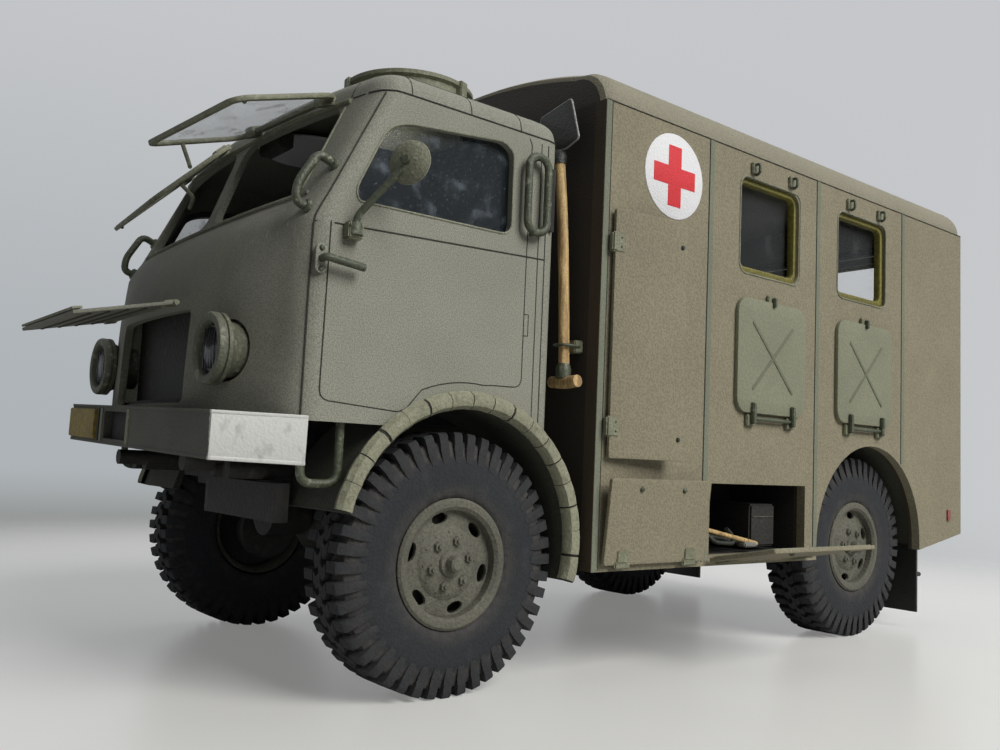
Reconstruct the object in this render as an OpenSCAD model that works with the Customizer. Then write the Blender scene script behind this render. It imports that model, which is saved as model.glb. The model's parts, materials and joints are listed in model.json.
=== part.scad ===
/* [Overall] */
// Distance from the front axle to the rear axle
wheelbase = 84.4; // [80:0.2:90]
// Distance between the middles of the left and right wheels
track = 50.2; // [49:0.1:51]
// Outer diameter of a tyre
tyre_d = 29.9; // [28.5:0.1:30.2]
// Width of a tyre
tyre_w = 8; // [6.4:0.1:8.4]

/* [Van body] */
// Outer width of the van body
van_w = 64; // [60:0.5:68]
// Length of the van body
van_len = 97.6; // [94:0.2:104]
// Height where the van's side walls meet the roof
van_wall_top = 74.1; // [70:0.1:82]
// Height of the crown of the van roof above the wall tops
van_crown = 8.8; // [6:0.1:11]
// Radius of the rounded roof edges along the sides
roof_edge_r = 5; // [3:0.1:6]
// Thickness of the van's walls
van_wall = 2; // [1.2:0.1:2.6]
// Height of the bottom edge of the van body
van_bottom = 13.6; // [12:0.1:15]
// Height of the top of the van floor
van_floor_z = 27.4; // [26.6:0.1:30]
// Width of a van window
window_w = 15; // [10:0.1:16]
// Height of a van window
window_h = 14.6; // [10:0.1:16]

/* [Cab] */
// Outer width of the cab
cab_w = 60; // [57:0.5:61]
// Height of the cab's bottom edge
cab_bottom = 30.1; // [29.8:0.1:31]
// Height of the belt line where the upper cab starts
belt_z = 51.2; // [49:0.1:54]
// Height of the windscreen header
header_z = 66.8; // [64:0.1:72]
// Height of the cab roof's crown above the header
cab_crown = 6.4; // [5:0.1:9]
// Thickness of the cab's skin
skin = 1; // [0.8:0.1:1.4]
// Inner radius of the roof hatch
hatch_r = 7.2; // [6:0.1:8]

/* [Opening parts] */
// How far the left windscreen stands open, in degrees
left_screen_open = 51.6; // [0:0.5:60]
// How far the right windscreen stands open, in degrees
right_screen_open = 25.5; // [0:0.5:60]
// How far the nose flap stands open, in degrees
nose_flap_open = 77; // [0:1:80]
// How far the tall locker doors stand ajar, in degrees
tall_door_ajar = 8; // [0:1:60]
// How far the front locker flaps lean out, in degrees
front_flap_ajar = 6; // [0:1:60]
// How far the middle locker flaps hang open, in degrees
middle_flap_open = 78; // [0:1:90]

/* [Small parts] */
// Width of the front bumper
bumper_w = 62; // [58:0.5:64]
// Height of the bumper beam
bumper_h = 4.9; // [3:0.1:6]
// Radius of a headlamp's outer rim
lamp_r = 3.9; // [3:0.1:4.4]
// Thickness of the wire used for handles and loops
wire_r = 0.45; // [0.35:0.05:0.6]

/* [Hidden] */

OLIVE = [0.36, 0.35, 0.28];
GREEN = [0.43, 0.45, 0.36];
DARK = [0.12, 0.12, 0.12];
BLACK = [0.05, 0.05, 0.05];
PALE = [0.9, 0.9, 0.9];
CLEAR = [0.7, 0.78, 0.8, 0.5];
YELLOW = [0.6, 0.5, 0.12];
RUST = [0.6, 0.5, 0.36];
RED = [0.6, 0.1, 0.08];

FINE = 48;
tiny = 0.01;
far = 200;
axle_z = tyre_d / 2;
van_front = 18.8;
van_rear = van_front + van_len;
// The nose flap's open edge and the tow hook's tip set the length, and mid_y is halfway
nose_tip = -38.2;
hook_tip = van_rear + 2.6;
mid_y = (nose_tip + hook_tip) / 2;
half_van = van_w / 2;
half_cab = cab_w / 2;
cab_rear = 13.1;
sill_z = 54.2;
post_slope = 0.36;
corner_slope = 0.5;
roof_top = header_z + cab_crown;

module placed() translate([0, -mid_y, 0]) children();
module both() {
    children();
    mirror([1, 0, 0]) children();
}
module slab(low, high) translate(low) cube(high - low);
module bar(from, to, r) {
    d = to - from;
    reach = norm(d);
    translate(from)
        rotate([0, acos(d[2] / reach), atan2(d[1], d[0])])
            cylinder(h = reach, r = r, $fn = 20);
}
module wire(path, r) {
    for (i = [0 : len(path) - 2])
        bar(path[i], path[i + 1], r);
    for (i = [1 : 1 : len(path) - 2])
        translate(path[i]) sphere(r = r * 1.06, $fn = 20);
}
// A flat rounded rectangle with its low corner at the origin
module round_rect(w, h, r) {
    translate([r, 0]) square([w - 2 * r, h]);
    translate([0, r]) square([w, h - 2 * r]);
    for (x = [r, w - r])
        for (y = [r, h - r])
            translate([x, y]) circle(r = r, $fn = 32);
}
// Stands a flat shape drawn in (y, z) upright, with its thickness along +X from x
module along_x(x, thick) translate([x, 0, 0]) rotate([90, 0, 90]) linear_extrude(thick) children();
// Stands a flat shape drawn in (x, z) upright, with its thickness along +Y from y
module along_y(y, thick) translate([0, y + thick, 0]) rotate([90, 0, 0]) linear_extrude(thick) children();

// ---- Cab outline ----
// Centre-line front of the cab at each height: [height, y]
nose_rows = [[30.1, -26.9], [36, -26.8], [43, -26.4], [46.5, -25.7], [49.5, -24.5], [52.2, -22.7]];
function post_y(z) = -20.4 + (z - 54.2) * post_slope;
function seam_y(z) = z <= belt_z ? -20.6 : -20.6 + (z - belt_z) * corner_slope;
function bulge(x, centre, seam) = centre + (seam - centre) * pow(abs(x) / 30, 2.2);
// Positions across the half width where the front is sampled
nose_steps = [0, 8, 14, 19, 23.5, 27, 29.2, 30];
function front_half(z, centre, t) = [for (s = nose_steps)
    [s * (half_cab - t) / 30, bulge(s, centre, seam_y(z)) + t]];
function ring(z, centre, t) = let (h = front_half(z, centre, t), n = len(h))
    concat(
        [for (i = [n - 1 : -1 : 1]) [-h[i][0], h[i][1], z]],
        [for (p = h) [p[0], p[1], z]],
        [[half_cab - t, cab_rear - t, z], [t - half_cab, cab_rear - t, z]]);
// A solid lofted through rings of equal point count, listed from bottom to top
module loft(rings) {
    n = len(rings[0]);
    m = len(rings);
    sides = [for (k = [0 : m - 2]) for (i = [0 : n - 1]) let (j = (i + 1) % n)
        each [[k * n + i, (k + 1) * n + i, (k + 1) * n + j], [k * n + i, (k + 1) * n + j, k * n + j]]];
    caps = [[for (i = [0 : n - 1]) i], [for (i = [n - 1 : -1 : 0]) (m - 1) * n + i]];
    polyhedron(points = [for (r = rings) each r], faces = concat(sides, caps));
}
// Lower cab: nose and door panels up to the windscreen sill
module lower_body(t, low, high) {
    loft(concat(
        [ring(low, nose_rows[0][1], t)],
        [for (i = [1 : len(nose_rows) - 1]) ring(nose_rows[i][0], nose_rows[i][1], t)],
        [ring(high, post_y(high), t)]));
}
// The cab's outline at the height of one nose row, filled from low to high, up to y_end
module cab_slice(row, t, low, high, y_end) intersection() {
    translate([0, 0, low]) linear_extrude(high - low)
        polygon([for (p = ring(row[0], row[1], t)) [p[0], p[1]]]);
    slab([-far, -far, low - 1], [far, y_end, high + 1]);
}
// Upper cab: posts from the belt to the header, then the crowned roof
module upper_posts(t, low, high) loft([ring(low, post_y(low), t), ring(high, post_y(high), t)]);

// Roof rows: [share of the crown, how far the front edge has moved back, side inset]
roof_rows = [[0, 0, 0], [0.27, 0.6, 0.5], [0.47, 1.8, 2.2], [0.67, 4.2, 6], [0.83, 7.5, 11],
    [0.95, 11.5, 18], [1, 15, 25]];
function roof_ring(row, t) = let (
        z = header_z + row[0] * (cab_crown - t) - (row[0] == 0 ? 0.4 : 0),
        w = half_cab - t - row[2],
        f = post_y(header_z) + row[1] + t,
        r = cab_rear - t - row[1] * 0.35)
    concat(
        [for (i = [len(nose_steps) - 1 : -1 : 1]) [-nose_steps[i] / 30 * w, bulge(nose_steps[i],
            f, f + (seam_y(header_z) - post_y(header_z))), z]],
        [for (s = nose_steps) [s / 30 * w, bulge(s, f, f + (seam_y(header_z) - post_y(header_z))), z]],
        [[w, r, z], [-w, r, z]]);
module roof_body(t) loft([for (row = roof_rows) roof_ring(row, t)]);

screen_in = 1.1;
arch_c = [0.4, 17.2];
arch_in = 15.7;
arch_out = 17.5;
fender_x = half_cab + 2;

module cab_shell() placed() color(OLIVE) {
    difference() {
        lower_body(0, cab_bottom, sill_z);
        lower_body(skin, cab_bottom - 1, sill_z + 0.01);
        // rear of the belt is lower than the windscreen sill
        slab([-far, seam_y(sill_z) + 0.2, belt_z], [far, far, 80]);
        // grille opening
        along_y(-40, 20) translate([-11.6, 31.8]) square([23.2, 10.6]);
        // wheel arches
        both() along_x(10, 30) translate(arch_c) circle(r = arch_out - 0.3, $fn = FINE);
        // lamp seats
        both() translate([19.4, -16, 37.4]) rotate([90, 0, 0]) cylinder(h = 20, r = lamp_r - 0.5, $fn = FINE);
    }
    // hinge eyes of the nose flap
    both() slab([12.3, -28.2, 42.4], [13.2, -25.6, 43.4]);
    // inner flange that the upper cab sits on
    difference() {
        lower_body(skin - 0.02, cab_bottom, sill_z);
        lower_body(2 * skin, cab_bottom - 1, sill_z + 0.01);
        slab([-far, -far, 0], [far, far, belt_z - 2.4]);
        slab([-far, -far, belt_z - 0.6], [far, far, 90]);
    }
}

// Door windows: [y, z] corners of the glazed opening
door_win = [[-14.6, 53.1], [5.5, 53.9], [5.4, 64], [3.8, 65], [-9.8, 63.6], [-12.4, 62.6], [-15.8, 55.2],
    [-15.8, 54]];
// The film behind a door window laps over its edges
door_film = [[-15.2, 52.4], [6.2, 53.2], [6.1, 64.4], [4.1, 65.7], [-10.1, 64.3], [-13, 63.1], [-16.6, 55.3],
    [-16.6, 53.3]];
module door_window(x, thick) along_x(x, thick) polygon(door_win);
module cab_top() placed() color(OLIVE) difference() {
    union() {
        upper_posts(0, belt_z, header_z);
        roof_body(0);
    }
    upper_posts(skin, belt_z - 1, header_z + 0.02);
    roof_body(skin);
    slab([-far, -far, 0], [far, seam_y(sill_z) + 0.2, sill_z]);
    // windscreen openings either side of the middle post
    both() translate([0, -30, 0]) along_y(0, 30) translate([screen_in, 55]) round_rect(22.6, 11, 2);
    both() door_window(20, 20);
    translate([hatch_x, hatch_y, 50]) cylinder(h = 40, r = hatch_r + hatch_rim + 0.03, $fn = FINE);
}

hatch_x = 10.6;
hatch_y = 2.3;
hatch_rim = 1.5;
hatch_low = roof_top - 3;
hatch_top = roof_top + 2.8;
module hatch_ring() placed() color(GREEN) translate([hatch_x, hatch_y, 0]) difference() {
    translate([0, 0, hatch_low]) cylinder(h = hatch_top - hatch_low, r = hatch_r + hatch_rim, $fn = FINE);
    translate([0, 0, hatch_low - 1]) cylinder(h = 12, r = hatch_r, $fn = FINE);
}

floor_z = cab_bottom + 2.3;
dash_y = -16.9;
module cab_floor() placed() color(DARK) {
    cab_slice(nose_rows[1], skin + 0.2, floor_z - 1.4, floor_z, -17.6);
    slab([-17.4, -17.7, floor_z - 1.4], [17.4, cab_rear - skin, floor_z]);
    // hood over the engine between the seats
    slab([-9, -17.6, floor_z - 0.1], [9, 8, 42]);
    // dash panel behind the nose
    slab([2 * skin - half_cab, -18.2, 46.4], [half_cab - 2 * skin, dash_y, 50.6]);
}

module seats() placed() color(DARK) both() {
    slab([11, -6, 34], [26, 7, 41]);
    slab([11, 7, 34], [26, 9.6, 56]);
    // pedestal down to the floor
    slab([11, -5, floor_z], [17.3, 6, 34.1]);
}

module steering_wheel() placed() color(BLACK) {
    slab([16.2, dash_y, 46.8], [17.8, dash_y + 1.2, 48.6]);
    bar([17, dash_y + 0.7, 47.9], [17, -11.5, 51.4], 0.6);
    translate([17, -11.5, 51.4]) rotate([58, 0, 0]) {
        rotate_extrude($fn = FINE) translate([5, 0]) circle(r = 0.5, $fn = 16);
        for (a = [0, 120, 240]) rotate([0, 0, a]) translate([0, -0.35, -0.35]) cube([5, 0.7, 0.7]);
        translate([0, 0, -0.7]) cylinder(h = 1.4, r = 1.1, $fn = 24);
    }
}

lamp_c = [19.4, -26.7, 37.4];
module lamp_axis() translate(lamp_c) rotate([-90, 0, 0]) children();
module headlamps() placed() color(GREEN) both() lamp_axis() difference() {
    union() {
        cylinder(h = 1, r = lamp_r, $fn = FINE);
        translate([0, 0, 0.9]) cylinder(h = 6, r = lamp_r - 0.6, $fn = FINE);
    }
    translate([0, 0, -1]) cylinder(h = 6, r = lamp_r - 1.1, $fn = FINE);
}
module lamp_glass() placed() color(CLEAR) both() lamp_axis()
    translate([0, 0, 0.5]) cylinder(h = 0.6, r = lamp_r - 1.1, $fn = FINE);

bumper_z = 26.5;
bumper_y = -28;
bumper_tilt = 1.7;
bumper_t = 1.05;
// Plan of the beam from the right end to the left end: a straight front with swept wings
bumper_half = bumper_w / 2;
bumper_front = [[-bumper_half, -20.4], [-25.2, bumper_y], [25.2, bumper_y], [bumper_half, -20.4]];
function beam_back(depth) = [for (i = [3 : -1 : 0]) let (p = bumper_front[i], wing = i == 0 || i == 3)
    [p[0] - sign(p[0]) * depth * (wing ? 0.88 : 0.45), wing ? p[1] : p[1] + depth]];
module beam(depth, low, high) translate([0, 0, bumper_z + low]) linear_extrude(high - low)
    polygon(concat(bumper_front, beam_back(depth)));
module bumper() placed() color(GREEN) {
    translate([0, 0, bumper_z]) rotate([0, bumper_tilt, 0]) translate([0, 0, -bumper_z]) {
        difference() {
            beam(bumper_t, 0, bumper_h);
            // slot for a hitch, right of the middle
            slab([-10.3, -40, bumper_z + 0.6], [-1.5, -20, bumper_z + 4.3]);
        }
        // flange along the bottom edge
        beam(2.6, 0, 0.5);
        color(YELLOW) slab([-25, bumper_y - 0.3, bumper_z + 0.5], [-13.4, bumper_y + 0.1, bumper_z + 4.4]);
    }
    // irons to the chassis
    both() slab([10, bumper_y + 0.5, bumper_z + 0.9], [12, -13.5, bumper_z + 3.2]);
}

module arch_ring(r0, r1, x0, x1) difference() {
    along_x(x0, x1 - x0) translate(arch_c) circle(r = r1, $fn = FINE);
    along_x(x0 - 1, x1 - x0 + 2) translate(arch_c) circle(r = r0, $fn = FINE);
    // the ends stop at their own heights
    slab([-far, 0, -10], [far, far, 12.6]);
    slab([-far, -far, -10], [far, 0.01, 20.6]);
}
module fenders() placed() color(OLIVE) both() arch_ring(arch_in, arch_in + 1, 17.5, fender_x - 1.9);
module fender_lips() placed() color(GREEN) both() arch_ring(arch_in - 0.2, arch_out, fender_x - 1.9, fender_x);

module step_loops() placed() color(GREEN) both() difference() {
    wire([[half_cab - 1.8, -19, floor_z - 1.4], [half_cab - 1.8, -19, 24.6], [half_cab - 1.8, -18.2, 23.8],
        [half_cab - 1.8, -16.2, 23.8], [half_cab - 1.8, -15.4, 24.6], [half_cab - 1.8, -15.4, floor_z - 1.4]], wire_r);
    along_x(10, 30) translate(arch_c) circle(r = arch_in + 1, $fn = FINE);
}

module cab_handles() placed() color(GREEN) both() {
    // grab handle in front of the post, its ends square to the sloped skin
    wire([[28, -20.58, 52.35], [28, -21.6, 52.9], [28, -21.6, 54.4], [28, -19.4, 58.2], [28, -17.8, 57.55]], wire_r);
    // grab loop at the back of the door
    wire([[half_cab, 8.6, 54.6], [half_cab + 1.6, 8.6, 54.6], [half_cab + 1.6, 8.6, 63.8],
        [half_cab, 8.6, 63.8]], wire_r);
    // door lever
    slab([half_cab, -20.3, 45.4], [half_cab + 0.5, -19.1, 48.2]);
    wire([[half_cab + 0.4, -19.6, 46.7], [half_cab + 1.3, -19.6, 46.7], [half_cab + 1.3, -15.1, 46.3]], wire_r);
}

mirror_c = [35.2, -12.9, 57.4];
module mirrors() placed() color(GREEN) both() {
    slab([half_cab, -17.2, 49.2], [half_cab + 1.3, -15.4, 51]);
    bar([half_cab + 1, -16.2, 50.4], mirror_c + [0, 0.6, 0], wire_r);
    translate(mirror_c) rotate([90, 0, 28]) cylinder(h = 0.8, r = 2.3, center = true, $fn = FINE);
}

module door_glass() placed() color(CLEAR) both()
    along_x(half_cab - skin - 0.4, 0.4) polygon(door_film);

// ---- Windscreens ----
screen_w = 22.9;
screen_h = 13.4;
screen_t = 0.9;
// How far each pane's hinge line runs back towards the outside, in degrees
screen_sweep = 4.5;
rest_tilt = 19.8;
screen_hinge = [1.4, -17.1, header_z + 0.2];
module screen_pose(open) placed() translate(screen_hinge) rotate([0, 0, screen_sweep])
    rotate([-rest_tilt - open, 0, 0]) children();
module screen_frame() difference() {
    union() {
        along_y(-screen_t / 2, screen_t) translate([0, -screen_h]) round_rect(screen_w, screen_h, 2);
        // rolled edge that turns on the hinge line
        translate([2, 0, 0]) rotate([0, 90, 0]) cylinder(h = screen_w - 4, r = screen_t / 2, $fn = 20);
    }
    along_y(-2, 4) translate([1.1, 1.1 - screen_h]) round_rect(screen_w - 2.2, screen_h - 2.2, 1.4);
}
module screen_pane() along_y(-0.15, 0.3) translate([1.1, 1.1 - screen_h]) round_rect(screen_w - 2.2, screen_h - 2.2, 1.4);
module screen_left() color(GREEN) screen_pose(left_screen_open) screen_frame();
module screen_glass_left() color(CLEAR) screen_pose(left_screen_open) screen_pane();
module screen_right() color(GREEN) mirror([1, 0, 0]) screen_pose(right_screen_open) screen_frame();
module screen_glass_right() color(CLEAR) mirror([1, 0, 0]) screen_pose(right_screen_open) screen_pane();

flap_len = 10.8;
flap_hinge = [0, -27.7, 42.9];
module nose_flap() placed() color(OLIVE) translate(flap_hinge) rotate([-nose_flap_open, 0, 0]) {
    along_y(-0.4, 0.8) polygon([[-12, -0.2], [12, -0.2], [11.4, -flap_len], [-11.4, -flap_len]]);
    rotate([0, 90, 0]) cylinder(h = 24.5, r = 0.5, center = true, $fn = 20);
}

// ---- Van body ----
door_w = 19.6;
door_bottom = 28.4;
door_top = van_wall_top - 1.3;
window_top = 70.6;
window_bottom = window_top - window_h;
// Windows: [low y, width, height], left and right alike
windows = [[47.1, window_w, window_h], [73.1, window_w + 0.6, window_h]];
arch_r = 16.3;
tall_lock = [21.8, 31.4, 28.4, 58.8];
front_lock = [21.8, 38.6, 15, 25];
middle_lock = [41.6, 64.8, 15, 25];
module lock_hole(l) along_x(half_van - van_wall - 1, van_wall + 4)
    translate([l[0], l[2]]) square([l[1] - l[0], l[3] - l[2]]);
// The left wall; the right one is its mirror image
module van_side() placed() difference() {
    slab([half_van - van_wall, van_front, van_bottom], [half_van, van_rear, van_wall_top]);
    for (w = windows) along_x(half_van - 5, 10)
        translate([w[0], window_bottom]) round_rect(w[1], w[2], 2.2);
    for (l = [tall_lock, front_lock, middle_lock]) lock_hole(l);
    along_x(half_van - 5, 10) translate([wheelbase, 15.7]) circle(r = arch_r, $fn = FINE);
    along_x(half_van - 5, 10) translate([wheelbase - arch_r, 0]) square([2 * arch_r, 15.7]);
    // the bottom edge rises towards the back
    along_x(half_van - 5, 10) polygon([[wheelbase, 0], [wheelbase, 14.3], [wheelbase + arch_r, 14.3],
        [van_rear + 1, 17.1], [van_rear + 1, 0]]);
}
module van_side_left() color(OLIVE) van_side();
module van_side_right() color(OLIVE) mirror([1, 0, 0]) van_side();
module van_ends() placed() color(OLIVE) difference() {
    for (y = [van_front, van_rear - van_wall])
        slab([van_wall - half_van, y, y < 50 ? van_bottom : 17], [half_van - van_wall, y + van_wall, van_wall_top]);
    // rear doorway
    slab([-door_w, van_rear - 5, door_bottom], [door_w, van_rear + 5, door_top]);
    // the end walls stop above the chassis
    slab([-16, van_front - 1, 0], [16, van_rear + 5, van_floor_z - 1.4]);
}
module van_floor() placed() color(OLIVE) difference() {
    slab([van_wall - half_van, van_front + van_wall, van_floor_z - 1.4],
        [half_van - van_wall, van_rear - van_wall, van_floor_z]);
    // wheel wells
    both() slab([16, wheelbase - 17.6, 0], [40, wheelbase + 17.6, 60]);
}
// Half outline of the roof at inset t: round edge first, then the shallow crown
crown_big = (pow(half_van - roof_edge_r, 2) + pow(van_crown - roof_edge_r, 2)) / (2 * (van_crown - roof_edge_r));
crown_turn = asin((half_van - roof_edge_r) / crown_big);
function roof_half(t) = let (
        corner = [half_van - roof_edge_r, van_wall_top],
        hub = [0, van_wall_top + van_crown - crown_big])
    concat(
        [for (a = [0 : 12 : 84]) corner + (roof_edge_r - t) * [cos(a), sin(a)]],
        [for (k = [10 : -1 : 0]) hub + (crown_big - t) * [sin(crown_turn * k / 10), cos(crown_turn * k / 10)]]);
module roof_outline(t, drop) {
    h = roof_half(t);
    n = len(h);
    polygon(concat(
        [[half_van - t, van_wall_top - drop]],
        h,
        [for (i = [n - 2 : -1 : 0]) [-h[i][0], h[i][1]]],
        [[t - half_van, van_wall_top - drop]]));
}
roof_t = 1.4;
module van_roof() placed() color(OLIVE) difference() {
    along_y(van_front, van_len) roof_outline(0, 0);
    along_y(van_front + roof_t, van_len - 2 * roof_t) roof_outline(roof_t, 2);
}
module window_frames() placed() color(YELLOW) both() for (w = windows) difference() {
    along_x(half_van - van_wall - 0.6, 1.4) translate([w[0] - 0.8, window_bottom - 0.8])
        difference() {
            round_rect(w[1] + 1.6, w[2] + 1.6, 2.8);
            translate([1.5, 1.5]) round_rect(w[1] - 1.4, w[2] - 1.4, 1.6);
        }
    slab([half_van - van_wall, -far, 0], [far, far, far]);
}
module van_glass() placed() color(CLEAR) both() for (w = windows)
    along_x(half_van - van_wall - 0.5, 0.4) translate([w[0] + 0.7, window_bottom + 0.7])
        round_rect(w[1] - 1.4, w[2] - 1.4, 1.6);

box_t = 0.8;
rail_x = 13;
lock_depth = half_van - van_wall - rail_x - 4;
module locker_box(l, depth) difference() {
    slab([half_van - van_wall - depth, l[0] - box_t, l[2] - box_t], [half_van - van_wall, l[1] + box_t, l[3] + box_t]);
    slab([half_van - van_wall - depth + box_t, l[0], l[2]], [half_van + 1, l[1], l[3]]);
}
module lockers() placed() {
    locker_box(tall_lock, 8);
    locker_box(front_lock, lock_depth);
    locker_box(middle_lock, lock_depth);
}
module lockers_left() color(OLIVE) lockers();
module lockers_right() color(OLIVE) mirror([1, 0, 0]) lockers();
// Shutters: [low y, low z], each 16.9 by 16.9
shutter_at = [[46.4, 35.4], [72.6, 35.4]];
module shutters() placed() color(GREEN) both() for (s = shutter_at)
    along_x(half_van, 0.7) translate(s) round_rect(17, 16.9, 2.2);
module shutter_clips() placed() color(GREEN) both() for (s = shutter_at) {
    for (c = [[8.2, 17.2], [3.4, -0.6], [13, -0.6]])
        slab([half_van + 0.7, s[0] + c[0] - 0.6, s[1] + c[1] - 0.8], [half_van + 1.2, s[0] + c[0] + 0.6, s[1] + c[1] + 1.2]);
    for (c = [3.4, 12.8])
        slab([half_van, s[0] + c - 0.8, window_top + 0.6], [half_van + 1.2, s[0] + c + 0.8, window_top + 2.2]);
}
module mud_flaps() placed() color(BLACK) both() {
    slab([19.4, wheelbase + 19.2, 2.9], [half_van - van_wall, wheelbase + 19.8, van_floor_z - 1.4]);
    bar([half_van - 3.4, wheelbase + 19.6, 9.4], [half_van - 3.4, wheelbase + 23, 9.4], wire_r);
}
module tow_hook() placed() color(BLACK) {
    bar([0, 108, 21], [0, hook_tip - 1.4, 21], 0.9);
    translate([0, hook_tip - 1.6, 21]) rotate([0, 90, 0]) cylinder(h = 2.4, r = 1.6, center = true, $fn = 24);
    slab([-3, 108, 18.4], [3, 109.4, 23.6]);
}
module rear_lamps() placed() color(RED) both() {
    slab([half_van, 110.8, 19.4], [half_van + 0.3, 111.8, 21.4]);
    translate([half_van - 4, van_rear, 21]) rotate([-90, 0, 0]) cylinder(h = 1, r = 1.3, $fn = 24);
}
module bunks() placed() color(PALE) both() for (z = [33, 50])
    slab([8, 40, z], [half_van - van_wall, 104, z + 2]);

module locker_load() placed() color(DARK) both() {
    slab([half_van - 13, 54.4, 15], [half_van - 3, 62, 22]);
    slab([half_van - 12, 44, 15], [half_van - 3.4, 46, 16.2]);
}

blade_c = [27.4, 70.6];
shovel_y = 16.2;
module shovel() placed() color(RUST) {
    bar([half_van - 3.4, shovel_y, 38], [half_van - 5.2, shovel_y, 68], 0.7);
    bar([half_van - 5.6, shovel_y, 37.2], [half_van - 0.8, shovel_y, 37.2], 0.7);
    color(DARK) along_y(shovel_y - 0.3, 0.6) translate([half_van - 5.3, 70.8])
        polygon([[-4.5, 2.4], [1.4, 3.6], [3.1, -2.1], [0.8, -2.9], [-1.2, -2.9], [-4.5, -1.6]]);
}
module shovel_clip() placed() color(GREEN) slab([half_van - 4.6, shovel_y + 0.7, 41], [half_van - 2.6, van_front, 42.6]);

// ---- Running gear ----
rail_top = van_floor_z - 1.4;
housing = 4.5;
module chassis() placed() color(DARK) {
    // backbone tube between the axle housings
    for (run = [[-10, -housing], [housing, wheelbase - housing], [wheelbase + housing, 108]])
        translate([0, run[0], 19]) rotate([-90, 0, 0]) cylinder(h = run[1] - run[0], r = 3.2, $fn = FINE);
    // cross members: [y, top]
    for (m = [[-8, 23], [24, rail_top], [62, rail_top], [104, rail_top]])
        slab([-13, m[0] - 1.5, 20], [13, m[0] + 1.5, m[1]]);
    both() slab([rail_x - 3, -14, 22], [rail_x, 107, rail_top]);
    // two tube ends under the bumper
    both() bar([11.6, -22, 24.6], [11.6, -13.6, 24.6], 1);
    both() bar([15.6, -22, 24.6], [15.6, -14, 24.6], 1);
    both() slab([13, -14, 23.6], [16.6, -12.8, 25.6]);
}
module axle(y) {
    translate([0, y - housing, 17.6]) rotate([-90, 0, 0]) cylinder(h = 2 * housing, r = 5, $fn = FINE);
    both() bar([2, y, 18], [track / 2 - 4.4, y, axle_z], 1.7);
    both() translate([track / 2 - 6.4, y, axle_z]) rotate([0, 90, 0]) cylinder(h = 2.4, r = 4.6, $fn = FINE);
    both() translate([track / 2 - 4.2, y, axle_z]) rotate([0, 90, 0]) cylinder(h = 3.9, r = 1.6, $fn = FINE);
}
module front_axle() placed() color(DARK) axle(0);
module rear_axle() placed() color(DARK) axle(wheelbase);
module engine() placed() color(BLACK) {
    slab([-7.5, -18, 23.2], [7.5, 2, floor_z - 1.4]);
    slab([0, -18, 19], [20, -16.4, 23.3]);
    // radiator behind the nose flap
    slab([-13, -23.2, floor_z], [13, -22.4, 44]);
}

rim_r = 7.4;
module tyre() rotate([0, 90, 0]) rotate_extrude($fn = 96) {
    half = [[rim_r, tyre_w / 2 - 0.7], [rim_r + 0.9, tyre_w / 2 - 0.1], [11, tyre_w / 2], [12.6, tyre_w / 2 - 0.25],
        [tyre_d / 2 - 0.6, tyre_w / 2 - 0.5], [tyre_d / 2, tyre_w / 2 - 1]];
    polygon(concat(half, [for (i = [5 : -1 : 0]) [half[i][0], -half[i][1]]]));
}
module rim() rotate([0, 90, 0]) difference() {
    rotate_extrude($fn = 96) polygon([[1.7, -2], [3, -2], [3, 1], [rim_r - 0.8, 1], [rim_r - 0.8, -3], [rim_r, -3],
        [rim_r, 3.2], [rim_r - 0.8, 3.2], [rim_r - 0.8, 2], [2.6, 2], [2.6, 3.4], [0, 3.4], [0, 1], [1.7, 1]]);
    for (a = [0 : 60 : 300]) rotate([0, 0, a + 30]) translate([rim_r - 2.1, 0, -5]) cylinder(h = 20, r = 0.95, $fn = 24);
}
module wheel_at(side, y) placed() translate([side * track / 2, y, axle_z]) rotate([0, 0, side > 0 ? 0 : 180]) children();
module tyre_front_left() color(DARK) wheel_at(1, 0) tyre();
module tyre_front_right() color(DARK) wheel_at(-1, 0) tyre();
module tyre_rear_left() color(DARK) wheel_at(1, wheelbase) tyre();
module tyre_rear_right() color(DARK) wheel_at(-1, wheelbase) tyre();
module rim_front_left() color(GREEN) wheel_at(1, 0) rim();
module rim_front_right() color(GREEN) wheel_at(-1, 0) rim();
module rim_rear_left() color(GREEN) wheel_at(1, wheelbase) rim();
module rim_rear_right() color(GREEN) wheel_at(-1, wheelbase) rim();

// ---- Opening doors and flaps of the van ----
panel = 0.8;
gap = 0.25;
door_pin_r = 0.35;
tall_pin = [half_van + gap + 0.4, 20.3, 28];
module tall_door() placed() translate(tall_pin) rotate([0, 0, -tall_door_ajar]) {
    slab([-0.4, 0.1, -0.2], [0.4, 12.2, 31.8]);
    for (z = [3, 26.6]) translate([0, 0, z]) cylinder(h = 2.6, r = 0.5, $fn = 20);
}
module tall_door_left() color(OLIVE) tall_door();
module tall_door_right() color(OLIVE) mirror([1, 0, 0]) tall_door();
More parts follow.
